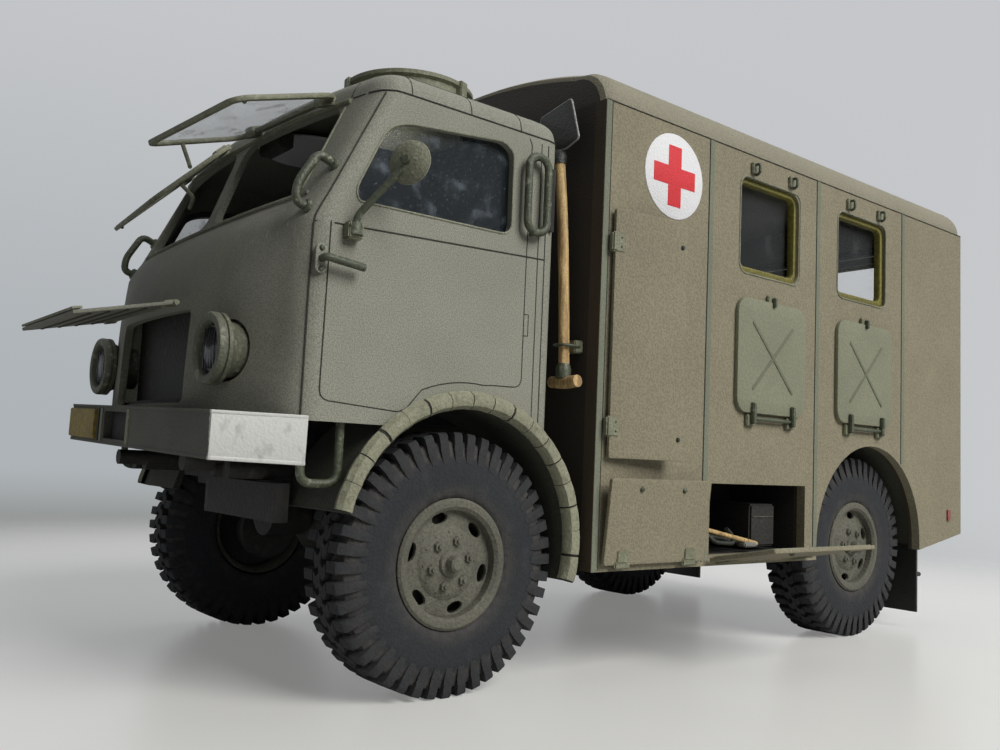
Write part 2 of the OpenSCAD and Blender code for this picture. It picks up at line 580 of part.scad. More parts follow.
// Span of the low flaps along the body
front_span = [20.1, 39.4];
middle_span = [40.9, 65.5];
module low_flap(l, span, angle) placed() translate([half_van + gap + 0.4, 0, l[2] - 0.5]) rotate([0, angle, 0]) {
    slab([-0.4, span[0], 0], [0.4, span[1], l[3] - l[2] + 0.9]);
    translate([0, span[0] + 1, 0]) rotate([-90, 0, 0]) cylinder(h = span[1] - span[0] - 2, r = 0.45, $fn = 20);
}
module front_flap_left() color(OLIVE) low_flap(front_lock, front_span, front_flap_ajar);
module front_flap_right() color(OLIVE) mirror([1, 0, 0]) low_flap(front_lock, front_span, front_flap_ajar);
module middle_flap_left() color(OLIVE) low_flap(middle_lock, middle_span, middle_flap_open);
module middle_flap_right() color(OLIVE) mirror([1, 0, 0]) low_flap(middle_lock, middle_span, middle_flap_open);
rear_window_h = window_h + 0.4;
rear_pin = [door_w - 0.2, van_rear + 0.5];
module rear_door() placed() difference() {
    union() {
        slab([0.15, van_rear - 1.4, door_bottom + 0.3], [door_w - 0.25, van_rear + 0.25, door_top - 0.3]);
        for (z = [33, 49, 65]) translate([rear_pin[0], rear_pin[1], z]) cylinder(h = 2.4, r = 0.42, $fn = 20);
    }
    along_y(van_rear - 5, 10) translate([2.6, door_top - 1.8 - rear_window_h]) round_rect(door_w - 4.8, rear_window_h, 2);
}
module rear_door_left() color(OLIVE) rear_door();
module rear_door_right() color(OLIVE) mirror([1, 0, 0]) rear_door();

chassis();
front_axle();
rear_axle();
engine();
cab_shell();
cab_top();
hatch_ring();
cab_floor();
seats();
steering_wheel();
headlamps();
lamp_glass();
bumper();
fenders();
fender_lips();
step_loops();
cab_handles();
mirrors();
door_glass();
van_side_left();
van_side_right();
van_ends();
van_floor();
van_roof();
window_frames();
van_glass();
lockers_left();
lockers_right();
shutters();
shutter_clips();
mud_flaps();
tow_hook();
rear_lamps();
bunks();
locker_load();
shovel();
shovel_clip();
tyre_front_left();
rim_front_left();
tyre_front_right();
rim_front_right();
tyre_rear_left();
rim_rear_left();
tyre_rear_right();
rim_rear_right();
screen_left();
screen_glass_left();
screen_right();
screen_glass_right();
nose_flap();
tall_door_left();
tall_door_right();
front_flap_left();
front_flap_right();
middle_flap_left();
middle_flap_right();
rear_door_left();
rear_door_right();
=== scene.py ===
import bpy, bmesh, json, math, random
from mathutils import Vector, Matrix


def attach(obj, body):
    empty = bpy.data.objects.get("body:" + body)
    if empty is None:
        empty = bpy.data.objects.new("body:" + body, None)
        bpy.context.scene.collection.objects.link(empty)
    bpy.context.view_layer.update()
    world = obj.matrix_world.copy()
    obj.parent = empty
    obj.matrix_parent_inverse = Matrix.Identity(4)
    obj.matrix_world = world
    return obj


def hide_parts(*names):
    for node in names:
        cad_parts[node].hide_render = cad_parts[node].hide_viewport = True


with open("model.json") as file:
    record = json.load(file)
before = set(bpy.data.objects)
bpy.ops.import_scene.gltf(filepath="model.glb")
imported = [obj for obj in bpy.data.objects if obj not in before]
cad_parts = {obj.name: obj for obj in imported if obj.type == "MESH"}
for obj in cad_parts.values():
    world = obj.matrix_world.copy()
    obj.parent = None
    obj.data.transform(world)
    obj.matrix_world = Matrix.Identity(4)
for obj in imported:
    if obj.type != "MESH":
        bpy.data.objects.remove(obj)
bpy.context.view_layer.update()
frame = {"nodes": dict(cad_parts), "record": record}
joints = {joint["name"]: joint for joint in frame["record"]["behaviour"]["joints"]}
millimetre = 0.001
axleY = joints["wheel_front_left_spin"]["pos_m"][1]
# every piece is drawn in millimetres from the front axle, then brought to the truck's own place
toTruck = Matrix.Translation((0, axleY, 0)) @ Matrix.Scale(millimetre, 4)
scene = bpy.context.scene

cameraSettings = {"place": (115.42, -104.37, 26.97), "turn": 51.2, "lift": 5.19, "roll": 2.54, "lens": 33.6}


def makeCamera():
    turn, lift, roll = [math.radians(cameraSettings[key]) for key in ("turn", "lift", "roll")]
    forward = Vector((-math.sin(turn) * math.cos(lift), math.cos(turn) * math.cos(lift), math.sin(lift)))
    side = forward.cross(Vector((0, 0, 1))).normalized()
    above = side.cross(forward)
    tiltedSide = math.cos(roll) * side + math.sin(roll) * above
    tiltedUp = -math.sin(roll) * side + math.cos(roll) * above
    lens = bpy.data.cameras.new("camera")
    camera = bpy.data.objects.new("camera", lens)
    scene.collection.objects.link(camera)
    camera.matrix_world = Matrix((tiltedSide, tiltedUp, -forward)).transposed().to_4x4()
    camera.location = Vector(cameraSettings["place"]) * millimetre
    lens.sensor_width = 36
    lens.lens = cameraSettings["lens"]
    lens.clip_start, lens.clip_end = 0.002, 10
    scene.camera = camera


makeCamera()
scene.view_settings.view_transform = "Standard"


def addNode(tree, kind, inputs=None, **settings):
    node = tree.nodes.new(kind)
    for key, value in settings.items():
        setattr(node, key, value)
    for key, value in (inputs or {}).items():
        if isinstance(value, bpy.types.NodeSocket):
            tree.links.new(value, node.inputs[key])
        else:
            node.inputs[key].default_value = value
    return node


def maths(tree, operation, first, second=0.0, clamp=False):
    return addNode(tree, "ShaderNodeMath", {0: first, 1: second}, operation=operation, use_clamp=clamp).outputs[0]


def blendColours(tree, amount, first, second, mode="MIX"):
    mix = addNode(tree, "ShaderNodeMix", data_type="RGBA", blend_type=mode)
    for index, value in ((0, amount), (6, first), (7, second)):
        if isinstance(value, bpy.types.NodeSocket):
            tree.links.new(value, mix.inputs[index])
        else:
            mix.inputs[index].default_value = value if index == 0 else (*value, 1)
    return mix.outputs[2]


def soften(tree, value, low, high, toLow=0.0, toHigh=1.0):
    return addNode(tree, "ShaderNodeMapRange", {0: value, 1: low, 2: high, 3: toLow, 4: toHigh},
                   interpolation_type="SMOOTHSTEP").outputs[0]


def noise(tree, place, size, detail=3.0, stretch=None):
    if stretch:
        place = addNode(tree, "ShaderNodeMapping", {0: place, 3: stretch}).outputs[0]
    return addNode(tree, "ShaderNodeTexNoise",
                   {"Vector": place, "Scale": 1 / (size * millimetre), "Detail": detail}).outputs[0]


def startMaterial(name, roughness=0.85, **constants):
    material = bpy.data.materials.new(name)
    material.use_nodes = True
    tree = material.node_tree
    shader = tree.nodes["Principled BSDF"]
    shader.inputs["Roughness"].default_value = roughness
    for key, value in constants.items():
        shader.inputs[key.replace("_", " ")].default_value = value
    place = addNode(tree, "ShaderNodeTexCoord").outputs["Object"]
    return material, tree, shader, place


def addBump(tree, shader, height, depth, strength=0.6):
    bump = addNode(tree, "ShaderNodeBump", {"Strength": strength, "Distance": depth * millimetre, "Height": height})
    tree.links.new(bump.outputs[0], shader.inputs["Normal"])


def shade(colour, amount):
    return tuple(channel * amount for channel in colour)


def cardMaterial(name, colour, speckle=0.3, grain=0.28, patches=0.12, roughness=0.82, bump=0.05, extra=None):
    # printed or painted card: fine speckle, slow patches, a trace of fibre
    material, tree, shader, place = startMaterial(name, roughness)
    grains = soften(tree, noise(tree, place, grain, 2), 0.36, 0.64)
    slow = soften(tree, noise(tree, place, 9, 3), 0.3, 0.7)
    speckled = blendColours(tree, grains, shade(colour, 1 - speckle), shade(colour, 1 + speckle))
    worn = blendColours(tree, slow, shade((1, 1, 1), 1 - patches), (1, 1, 1))
    result = blendColours(tree, 1.0, speckled, worn, "MULTIPLY")
    if extra:
        result = extra(tree, place, result)
    tree.links.new(result, shader.inputs["Base Color"])
    addBump(tree, shader, grains, bump)
    return material


cabColour = (0.25, 0.252, 0.205)
vanColour = (0.245, 0.221, 0.15)
greenColour = (0.20, 0.205, 0.135)


def noseWearAndShade(tree, place, colour):
    # pale scratches at the front corners under the sill, painted shade over the nose's upper middle, and dark
    # blotches on the front face that are partly uneven tone and partly painted shade
    parts = addNode(tree, "ShaderNodeSeparateXYZ", {0: place})
    sideways = maths(tree, "ABSOLUTE", parts.outputs[0])
    height = parts.outputs[2]
    ahead = soften(tree, parts.outputs[1], axleY - 0.0185, axleY - 0.0205)
    band = maths(tree, "MULTIPLY", soften(tree, height, 0.0455, 0.051), soften(tree, height, 0.0545, 0.0535))
    corner = maths(tree, "MULTIPLY", soften(tree, sideways, 0.006, 0.016), ahead)
    streaks = soften(tree, noise(tree, place, 0.5, 2, (1, 1, 0.12)), 0.63, 0.68)
    mask = maths(tree, "MULTIPLY", maths(tree, "MULTIPLY", band, corner), streaks)
    colour = blendColours(tree, maths(tree, "MULTIPLY", mask, 0.55), colour, (0.42, 0.41, 0.34))
    # dark blotches on the front face: partly uneven tone, partly painted shade
    blotchesAndShade = maths(tree, "MULTIPLY", soften(tree, noise(tree, place, 5, 4, (1, 1, 0.35)), 0.48, 0.72), ahead)
    # painted shade: the middle of the nose is darkened from just above the lamps upwards
    paintedShadeMiddle = maths(tree, "MULTIPLY", maths(tree, "MULTIPLY", soften(tree, sideways, 0.026, 0.012),
                                          soften(tree, height, 0.033, 0.044)), ahead)
    colour = blendColours(tree, maths(tree, "MULTIPLY", paintedShadeMiddle, 0.5), colour, (0.085, 0.08, 0.062))
    return blendColours(tree, maths(tree, "MULTIPLY", blotchesAndShade, 0.3), colour, (0.1, 0.095, 0.07))


def bumperPaint(tree, place, colour):
    # white paint on the left wing with a ragged edge and grey rubbing
    parts = addNode(tree, "ShaderNodeSeparateXYZ", {0: place})
    sideways = maths(tree, "ABSOLUTE", parts.outputs[0])
    ragged = maths(tree, "ADD", sideways, maths(tree, "MULTIPLY", noise(tree, place, 1.6, 5), 0.0016))
    white = soften(tree, ragged, 0.0258, 0.0261)
    rubbed = soften(tree, noise(tree, place, 1.3, 5, (1, 1, 0.6)), 0.52, 0.68)
    paint = blendColours(tree, maths(tree, "MULTIPLY", rubbed, 0.5), (0.82, 0.83, 0.79), (0.45, 0.45, 0.42))
    left = maths(tree, "GREATER_THAN", parts.outputs[0], 0.0)
    return blendColours(tree, maths(tree, "MULTIPLY", white, left), colour, paint)


def paintedWear(tree, place, colour):
    # brush-painted strips and wires: pale rubbed spots and dark touches
    pale = soften(tree, noise(tree, place, 0.9, 4), 0.56, 0.68)
    dark = soften(tree, noise(tree, place, 1.5, 4), 0.58, 0.7)
    colour = blendColours(tree, maths(tree, "MULTIPLY", pale, 0.4), colour, (0.36, 0.36, 0.27))
    return blendColours(tree, maths(tree, "MULTIPLY", dark, 0.45), colour, (0.09, 0.1, 0.06))


def endWallsShaded(tree, place, colour):
    # painted shade: the wall behind the cab, and every face of the end walls short of the rear wall's outer face, is
    # near-black brown; the rear wall keeps its colour outside
    parts = addNode(tree, "ShaderNodeSeparateXYZ", {0: place})
    outside = maths(tree, "GREATER_THAN", parts.outputs[1], axleY + 0.1162)
    return blendColours(tree, outside, (0.022, 0.017, 0.011), colour)


def sideWallsFrontShade(tree, place, colour):
    # the outer face keeps the olive and the inner face is dark brown; the front edge facing the cab gets the same
    # dark brown as painted shade
    parts = addNode(tree, "ShaderNodeSeparateXYZ", {0: place})
    outside = maths(tree, "GREATER_THAN", maths(tree, "ABSOLUTE", parts.outputs[0]), 0.0306)
    outside = maths(tree, "MULTIPLY", outside, maths(tree, "GREATER_THAN", parts.outputs[1], axleY + 0.01883))
    return blendColours(tree, outside, (0.05, 0.035, 0.02), colour)


def roofFrontShade(tree, place, colour):
    # painted shade: the roof's front face is as dark as the shaded wall under it
    parts = addNode(tree, "ShaderNodeSeparateXYZ", {0: place})
    behind = maths(tree, "GREATER_THAN", parts.outputs[1], axleY + 0.01886)
    return blendColours(tree, behind, (0.022, 0.018, 0.012), colour)


def woodGrain(tree, place, colour):
    fibre = soften(tree, noise(tree, place, 0.5, 4, (1, 1, 0.1)), 0.4, 0.68)
    return blendColours(tree, maths(tree, "MULTIPLY", fibre, 0.75), colour, (0.2, 0.11, 0.04))


def tyreDust(tree, place, colour):
    # the dust attribute is 1 at the bead and between the lugs
    dust = addNode(tree, "ShaderNodeAttribute", attribute_name="dust").outputs["Fac"]
    patch = soften(tree, noise(tree, place, 1.2, 4), 0.3, 0.7, 0.35, 1.0)
    colour = blendColours(tree, maths(tree, "MULTIPLY", dust, patch), colour, (0.06, 0.055, 0.05))
    wiped = soften(tree, noise(tree, place, 2.4, 5), 0.55, 0.75)
    return blendColours(tree, maths(tree, "MULTIPLY", wiped, 0.22), colour, (0.062, 0.065, 0.07))


def rubbedEdge(tree, place, colour):
    rubbed = soften(tree, noise(tree, place, 2.2, 4), 0.58, 0.74)
    return blendColours(tree, maths(tree, "MULTIPLY", rubbed, 0.35), colour, (0.1, 0.09, 0.07))


# the cab card carries painted shade on the nose's front face
cabCard = cardMaterial("cabCard", cabColour, 0.22, 0.15, 0.1, 0.75, 0.02, noseWearAndShade)
vanCard = cardMaterial("vanCard", vanColour, 0.13, 0.3, 0.08, 0.85)
# the end walls carry painted shade on the wall behind the cab
vanEndsShaded = cardMaterial("vanEndsShaded", vanColour, 0.13, 0.3, 0.08, 0.85, extra=endWallsShaded)
# the side walls carry painted shade on their front edge by the cab
vanSidesFrontShade = cardMaterial("vanSidesFrontShade", vanColour, 0.13, 0.3, 0.08, 0.85, extra=sideWallsFrontShade)
fenderInside = cardMaterial("fenderInside", (0.05, 0.05, 0.038), 0.15, 0.3, 0.3, 0.8)
stripPaint = cardMaterial("stripPaint", (0.185, 0.2, 0.145), 0.08, 0.3, 0.12, 0.8)
# the roof card carries painted shade on the roof's front face
roofCardShadedFront = cardMaterial("roofCardShadedFront", (0.25, 0.232, 0.168), 0.1, 0.3, 0.08, 0.75, extra=roofFrontShade)
lampPaint = cardMaterial("lampPaint", (0.12, 0.125, 0.085), 0.12, 0.35, 0.3, 0.6, extra=paintedWear)
paleEdge = cardMaterial("paleEdge", (0.27, 0.275, 0.205), 0.12, 0.4, 0.3, extra=paintedWear)
greenPaint = cardMaterial("greenPaint", greenColour, 0.1, 0.35, 0.25, 0.6, extra=paintedWear)
wirePaint = cardMaterial("wirePaint", (0.068, 0.08, 0.046), 0.12, 0.4, 0.35, 0.5, extra=paintedWear)
lipPaint = cardMaterial("lipPaint", (0.26, 0.26, 0.18), 0.12, 0.3, 0.3, 0.7, extra=paintedWear)
shutterPaint = cardMaterial("shutterPaint", (0.225, 0.232, 0.158), 0.06, 0.4, 0.12, 0.75)
shutterMark = cardMaterial("shutterMark", (0.15, 0.162, 0.105), 0.08, 0.4, 0.12, 0.75)
bumperCard = cardMaterial("bumperCard", (0.11, 0.108, 0.09), 0.12, 0.3, 0.3, 0.75, 0.02, bumperPaint)
printedLine = cardMaterial("printedLine", (0.03, 0.028, 0.02), 0.2, 0.3, 0.2)
jointShadow = cardMaterial("jointShadow", (0.012, 0.012, 0.009), 0.2, 0.3, 0.2)
darkCard = cardMaterial("darkCard", (0.018, 0.017, 0.015), 0.25, 0.4, 0.4)
chassisPaint = cardMaterial("chassisPaint", (0.022, 0.021, 0.018), 0.2, 0.6, 0.4, 0.7, extra=rubbedEdge)
tyreRubber = cardMaterial("tyreRubber", (0.017, 0.019, 0.022), 0.16, 0.35, 0.25, 0.85, extra=tyreDust)
wheelPaint = cardMaterial("wheelPaint", (0.125, 0.122, 0.093), 0.16, 0.35, 0.3, 0.8)
yellowPlate = cardMaterial("yellowPlate", (0.3, 0.21, 0.03), 0.2, 0.5, 0.35, 0.6)
yellowOlive = cardMaterial("yellowOlive", (0.2, 0.18, 0.035), 0.2, 0.5, 0.3, 0.6)
whitePrint = cardMaterial("whitePrint", (0.8, 0.8, 0.82), 0.02, 0.3, 0.03, 0.7)
redPrint = cardMaterial("redPrint", (0.68, 0.035, 0.045), 0.06, 0.3, 0.05, 0.7)
innerCard = cardMaterial("innerCard", (0.5, 0.5, 0.46), 0.05, 0.4, 0.15)
shovelWood = cardMaterial("shovelWood", (0.62, 0.43, 0.19), 0.12, 0.3, 0.15, 0.6, extra=woodGrain)
blackWire = cardMaterial("blackWire", (0.022, 0.026, 0.02), 0.2, 0.3, 0.3, 0.5)
redFilm = cardMaterial("redFilm", (0.3, 0.07, 0.06), 0.1, 0.4, 0.2, 0.35)
steelEdge = cardMaterial("steelEdge", (0.3, 0.3, 0.29), 0.1, 0.3, 0.3, 0.4)


def filmMaterial(name, tint, dustColour, alpha, dusty, roughness=0.12):
    # clear film: dusty in cloudy patches and specks, and scratched, and thin enough to see through
    material, tree, shader, place = startMaterial(name, roughness, IOR=1.45)
    cloud = soften(tree, noise(tree, place, 2.6, 5), 0.5, 0.72)
    specks = soften(tree, noise(tree, place, 0.35, 3), 0.64, 0.7)
    mask = maths(tree, "MULTIPLY", maths(tree, "MAXIMUM", cloud, specks), dusty, True)
    tree.links.new(blendColours(tree, mask, tint, dustColour), shader.inputs["Base Color"])
    tree.links.new(soften(tree, mask, 0, 1, alpha, min(1, alpha + 0.45)), shader.inputs["Alpha"])
    return material


doorFilm = filmMaterial("doorFilm", (0.03, 0.04, 0.05), (0.2, 0.24, 0.28), 0.3, 0.55)
clearFilm = filmMaterial("clearFilm", (0.75, 0.8, 0.8), (0.9, 0.92, 0.92), 0.3, 0.6, 0.08)
windowFilm = filmMaterial("windowFilm", (0.3, 0.33, 0.35), (0.6, 0.62, 0.62), 0.05, 0.15, 0.06)
lampFilm = filmMaterial("lampFilm", (0.05, 0.05, 0.055), (0.2, 0.2, 0.21), 0.75, 0.4, 0.15)
print("materials ready")


def plainMesh(thing):
    scene.collection.objects.link(thing)
    graph = bpy.context.evaluated_depsgraph_get()
    mesh = bpy.data.meshes.new_from_object(thing.evaluated_get(graph), depsgraph=graph)
    bpy.data.objects.remove(thing)
    mesh.materials.clear()
    return mesh


def cleanMesh(bm, name="part", outwards=True):
    if outwards:
        bmesh.ops.recalc_face_normals(bm, faces=bm.faces)
    mesh = bpy.data.meshes.new(name)
    bm.to_mesh(mesh)
    bm.free()
    return mesh


def placed(mesh, matrix):
    copy = mesh.copy()
    copy.transform(matrix)
    if matrix.determinant() < 0:
        copy.flip_normals()
    return copy


mirrorX = Matrix.Scale(-1, 4, (1, 0, 0))


def bothSides(parts):
    return parts + [(placed(mesh, mirrorX), material) for mesh, material in parts]


def bend(start, corner, end, t):
    return (1 - t) ** 2 * start + 2 * t * (1 - t) * corner + t * t * end


def softPath(points, radius, steps=5):
    # rounds the corners of a wire
    path = [Vector(points[0])]
    for before, here, after in zip(points, points[1:], points[2:]):
        before, here, after = Vector(before), Vector(here), Vector(after)
        reach = min(radius, (before - here).length * 0.49, (after - here).length * 0.49)
        first, last = here + (before - here).normalized() * reach, here + (after - here).normalized() * reach
        path += [bend(first, here, last, t) for t in [k / steps for k in range(steps + 1)]]
    return path + [Vector(points[-1])]


def tube(paths, radius, closed=False, sides=3):
    curve = bpy.data.curves.new("wire", "CURVE")
    curve.dimensions = "3D"
    curve.bevel_depth, curve.bevel_resolution, curve.use_fill_caps = radius, sides, True
    for path in paths:
        spline = curve.splines.new("POLY")
        spline.points.add(len(path) - 1)
        for point, place in zip(spline.points, path):
            point.co = (*place, 1)
        spline.use_cyclic_u = closed
    return plainMesh(bpy.data.objects.new("wire", curve))


def plate(outlines, thickness, edge=0.0):
    # flat outlines, holes and all, from z = 0 to the thickness, with softened edges
    curve = bpy.data.curves.new("plate", "CURVE")
    curve.dimensions, curve.fill_mode = "2D", "BOTH"
    curve.extrude, curve.bevel_depth, curve.bevel_resolution, curve.offset = thickness / 2 - edge, edge, 1, -edge
    for outline in outlines:
        spline = curve.splines.new("POLY")
        spline.points.add(len(outline) - 1)
        for point, place in zip(spline.points, outline):
            point.co = (place[0], place[1], 0, 1)
        spline.use_cyclic_u = True
    mesh = plainMesh(bpy.data.objects.new("plate", curve))
    mesh.transform(Matrix.Translation((0, 0, thickness / 2)))
    bm = bmesh.new()
    bm.from_mesh(mesh)
    bmesh.ops.remove_doubles(bm, verts=bm.verts, dist=0.0005)
    return cleanMesh(bm, "plate")


def roundedBox(low, high, corner, steps=5):
    outline = []
    for cx, cy, start in ((high[0] - corner, low[1] + corner, -90), (high[0] - corner, high[1] - corner, 0),
                          (low[0] + corner, high[1] - corner, 90), (low[0] + corner, low[1] + corner, 180)):
        outline += [(cx + corner * math.cos(math.radians(start + 90 * k / steps)),
                     cy + corner * math.sin(math.radians(start + 90 * k / steps))) for k in range(steps + 1)]
    return outline


def circle(centre, radius, steps=32):
    return [(centre[0] + radius * math.cos(2 * math.pi * k / steps),
             centre[1] + radius * math.sin(2 * math.pi * k / steps))
            for k in range(steps)]


def matrixOf(first, second, third, place):
    return Matrix.Translation(place) @ Matrix((first, second, third)).transposed().to_4x4()


def onSide(x):
    return matrixOf((0, 1, 0), (0, 0, 1), (1, 0, 0), (x, 0, 0))


def onFront(y):
    return matrixOf((1, 0, 0), (0, 0, 1), (0, -1, 0), (0, y, 0))


def block(low, high, edge=0.12):
    bm = bmesh.new()
    bmesh.ops.create_cube(bm, size=1)
    for vert in bm.verts:
        vert.co = [low[k] + (vert.co[k] + 0.5) * (high[k] - low[k]) for k in range(3)]
    if edge:
        bmesh.ops.bevel(bm, geom=bm.edges[:], offset=edge, segments=2, affect="EDGES")
    return cleanMesh(bm, "block")


def lathe(profile, steps=64, ring=False):
    # turns (radius, height) pairs round Z; a ring profile is closed
    bm = bmesh.new()
    rows = []
    for radius, height in profile:
        count = 1 if radius < 1e-6 else steps
        rows.append([bm.verts.new((radius * math.cos(2 * math.pi * k / steps),
                                   radius * math.sin(2 * math.pi * k / steps), height))
                     for k in range(count)])
    pairs = list(zip(rows, rows[1:])) + ([(rows[-1], rows[0])] if ring else [])
    for low, high in pairs:
        for k in range(steps):
            corners = [low[k % len(low)], low[(k + 1) % len(low)], high[(k + 1) % len(high)], high[k % len(high)]]
            corners = [c for n, c in enumerate(corners) if c not in corners[:n]]
            if len(corners) > 2:
                bm.faces.new(corners)
    return cleanMesh(bm, "turned")


def loft(rings, capLow=True, capHigh=True):
    bm = bmesh.new()
    rows = [[bm.verts.new(point) for point in ring] for ring in rings]
    for low, high in zip(rows, rows[1:]):
        for k in range(len(low)):
            n = (k + 1) % len(low)
            bm.faces.new((low[k], low[n], high[n], high[k]))
    if capLow:
        bm.faces.new(rows[0])
    if capHigh:
        bm.faces.new(rows[-1])
    return cleanMesh(bm, "loft")


def cutAway(mesh, cutters):
    body = bpy.data.objects.new("body", mesh)
    tools = []
    for cutter in cutters:
        tool = bpy.data.objects.new("cutter", cutter)
        scene.collection.objects.link(tool)
        tools.append(tool)
        modifier = body.modifiers.new("cut", "BOOLEAN")
        modifier.object, modifier.operation, modifier.solver = tool, "DIFFERENCE", "EXACT"
    result = plainMesh(body)
    for tool in tools:
        bpy.data.objects.remove(tool)
    return result


def assemble(name, parts, body="truck", replaces=(), angle=38):
    bm = bmesh.new()
    finishes = []
    for mesh, material in parts:
        if material not in finishes:
            finishes.append(material)
        start = len(bm.faces)
        bm.from_mesh(mesh)
        bm.faces.ensure_lookup_table()
        for face in bm.faces[start:]:
            face.material_index = finishes.index(material)
            face.smooth = True
    bm.transform(toTruck)
    mesh = bpy.data.meshes.new(name)
    bm.to_mesh(mesh)
    bm.free()
    for material in finishes:
        mesh.materials.append(material)
    mesh.set_sharp_from_angle(angle=math.radians(angle))
    piece = bpy.data.objects.new(name, mesh)
    scene.collection.objects.link(piece)
    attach(piece, body)
    if replaces:
        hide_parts(*replaces)
    return piece


def startTree(name, sockets):
    tree = bpy.data.node_groups.new(name, "GeometryNodeTree")
    for label, kind in [("Geometry", "NodeSocketGeometry")] + sockets:
        tree.interface.new_socket(label, in_out="INPUT", socket_type=kind)
    tree.interface.new_socket("Geometry", in_out="OUTPUT", socket_type="NodeSocketGeometry")
    return tree, addNode(tree, "NodeGroupInput"), addNode(tree, "NodeGroupOutput")


def finishTree(tree, entry, leave, instances):
    real = addNode(tree, "GeometryNodeRealizeInstances", {0: instances})
    done = addNode(tree, "GeometryNodeSetMaterial", {0: real.outputs[0], "Material": entry.outputs["Finish"]})
    tree.links.new(done.outputs[0], leave.inputs[0])
    return tree


def makeRoundTree():
    # repeats the incoming shape round Z, with a little seeded unevenness
    tree, entry, leave = startTree("repeatRound", [("Count", "NodeSocketInt"), ("Step", "NodeSocketFloat"),
                                                   ("Start", "NodeSocketFloat"), ("Wobble", "NodeSocketFloat"),
                                                   ("Seed", "NodeSocketInt"), ("Finish", "NodeSocketMaterial")])
    line = addNode(tree, "GeometryNodeMeshLine", {"Count": entry.outputs["Count"], "Offset": (0, 0, 0)})
    index = addNode(tree, "GeometryNodeInputIndex").outputs[0]
    chance = addNode(tree, "FunctionNodeRandomValue", data_type="FLOAT")
    tree.links.new(maths(tree, "MULTIPLY", entry.outputs["Wobble"], -1), chance.inputs[2])
    tree.links.new(entry.outputs["Wobble"], chance.inputs[3])
    tree.links.new(entry.outputs["Seed"], chance.inputs["Seed"])
    turn = maths(tree, "ADD", maths(tree, "MULTIPLY", index, entry.outputs["Step"]), entry.outputs["Start"])
    turn = maths(tree, "ADD", turn, chance.outputs[1])
    spin = addNode(tree, "ShaderNodeCombineXYZ", {2: turn})
    copies = addNode(tree, "GeometryNodeInstanceOnPoints",
                     {"Points": line.outputs[0], "Instance": entry.outputs["Geometry"],
                                                            "Rotation": spin.outputs[0]})
    return finishTree(tree, entry, leave, copies.outputs[0])


def makeScatterTree():
    # sets a small head on every incoming point, standing along the point's facing
    tree, entry, leave = startTree("headsOnPoints", [("Head", "NodeSocketObject"), ("Size", "NodeSocketFloat"),
                                                     ("Finish", "NodeSocketMaterial")])
    head = addNode(tree, "GeometryNodeObjectInfo", {"Object": entry.outputs["Head"]})
    facing = addNode(tree, "GeometryNodeInputNamedAttribute", {"Name": "facing"}, data_type="FLOAT_VECTOR")
    stand = addNode(tree, "FunctionNodeAlignRotationToVector", {"Vector": facing.outputs[0]}, axis="Z")
    size = addNode(tree, "ShaderNodeCombineXYZ", {k: entry.outputs["Size"] for k in range(3)})
    copies = addNode(tree, "GeometryNodeInstanceOnPoints",
                     {"Points": entry.outputs["Geometry"], "Instance": head.outputs["Geometry"],
                                                            "Rotation": stand.outputs[0], "Scale": size.outputs[0]})
    return finishTree(tree, entry, leave, copies.outputs[0])


roundTree, scatterTree = makeRoundTree(), makeScatterTree()


def runTree(tree, mesh, values):
    thing = bpy.data.objects.new("pattern", mesh)
    modifier = thing.modifiers.new("pattern", "NODES")
    modifier.node_group = tree
    for item in tree.interface.items_tree:
        if item.in_out == "INPUT" and item.name in values:
            modifier[item.identifier] = values[item.name]
    return plainMesh(thing)


def repeatRound(mesh, count, finish, step=None, start=0.0, wobble=0.0, seed=3):
    step = 2 * math.pi / count if step is None else step
    return runTree(roundTree, mesh, {"Count": count, "Step": step, "Start": start, "Wobble": wobble, "Seed": seed,
                                     "Finish": finish})


def headsOn(points, head, finish, size=1.0):
    mesh = bpy.data.meshes.new("points")
    mesh.from_pydata([place for place, way in points], [], [])
    layer = mesh.attributes.new("facing", "FLOAT_VECTOR", "POINT")
    for value, (place, way) in zip(layer.data, points):
        value.vector = way
    shape = bpy.data.objects.new("head", head)
    scene.collection.objects.link(shape)
    result = runTree(scatterTree, mesh, {"Head": shape, "Size": size, "Finish": finish})
    bpy.data.objects.remove(shape)
    return result


rivetHead = lathe([(0, 0.32), (0.2, 0.28), (0.34, 0.12), (0.38, -0.1), (0, -0.1)], 12)


def rivets(points, finish, size):
    return headsOn(points, rivetHead, finish, size), finish


nutHead = lathe([(0, 0.75), (0.26, 0.75), (0.3, 0.7), (0.3, 0.5), (0.58, 0.46), (0.62, 0.38), (0.62, -0.1),
                 (0, -0.1)], 6)
print("helpers ready")

cab = {"half": 30, "rear": 13.1, "low": 30.1, "belt": 51.2, "sill": 54.2, "header": 66.8, "crown": 6.4, "skin": 0.9,
       "nose": [(30.1, -26.9), (36, -26.8), (43, -26.4), (46.5, -25.7), (49.5, -24.5), (52.2, -22.7), (54.2, -20.4)],
       "roof": [(0, 0, 0), (0.27, 0.6, 0.5), (0.47, 1.8, 2.2), (0.67, 4.2, 6), (0.83, 7.5, 11), (0.95, 11.5, 18),
                (1, 15, 25)],
       "doorWindow": [(-14.6, 53.1), (5.5, 53.9), (5.4, 64), (3.8, 65), (-9.8, 63.6), (-12.4, 62.6), (-15.8, 55.2),
                      (-15.8, 54)]}


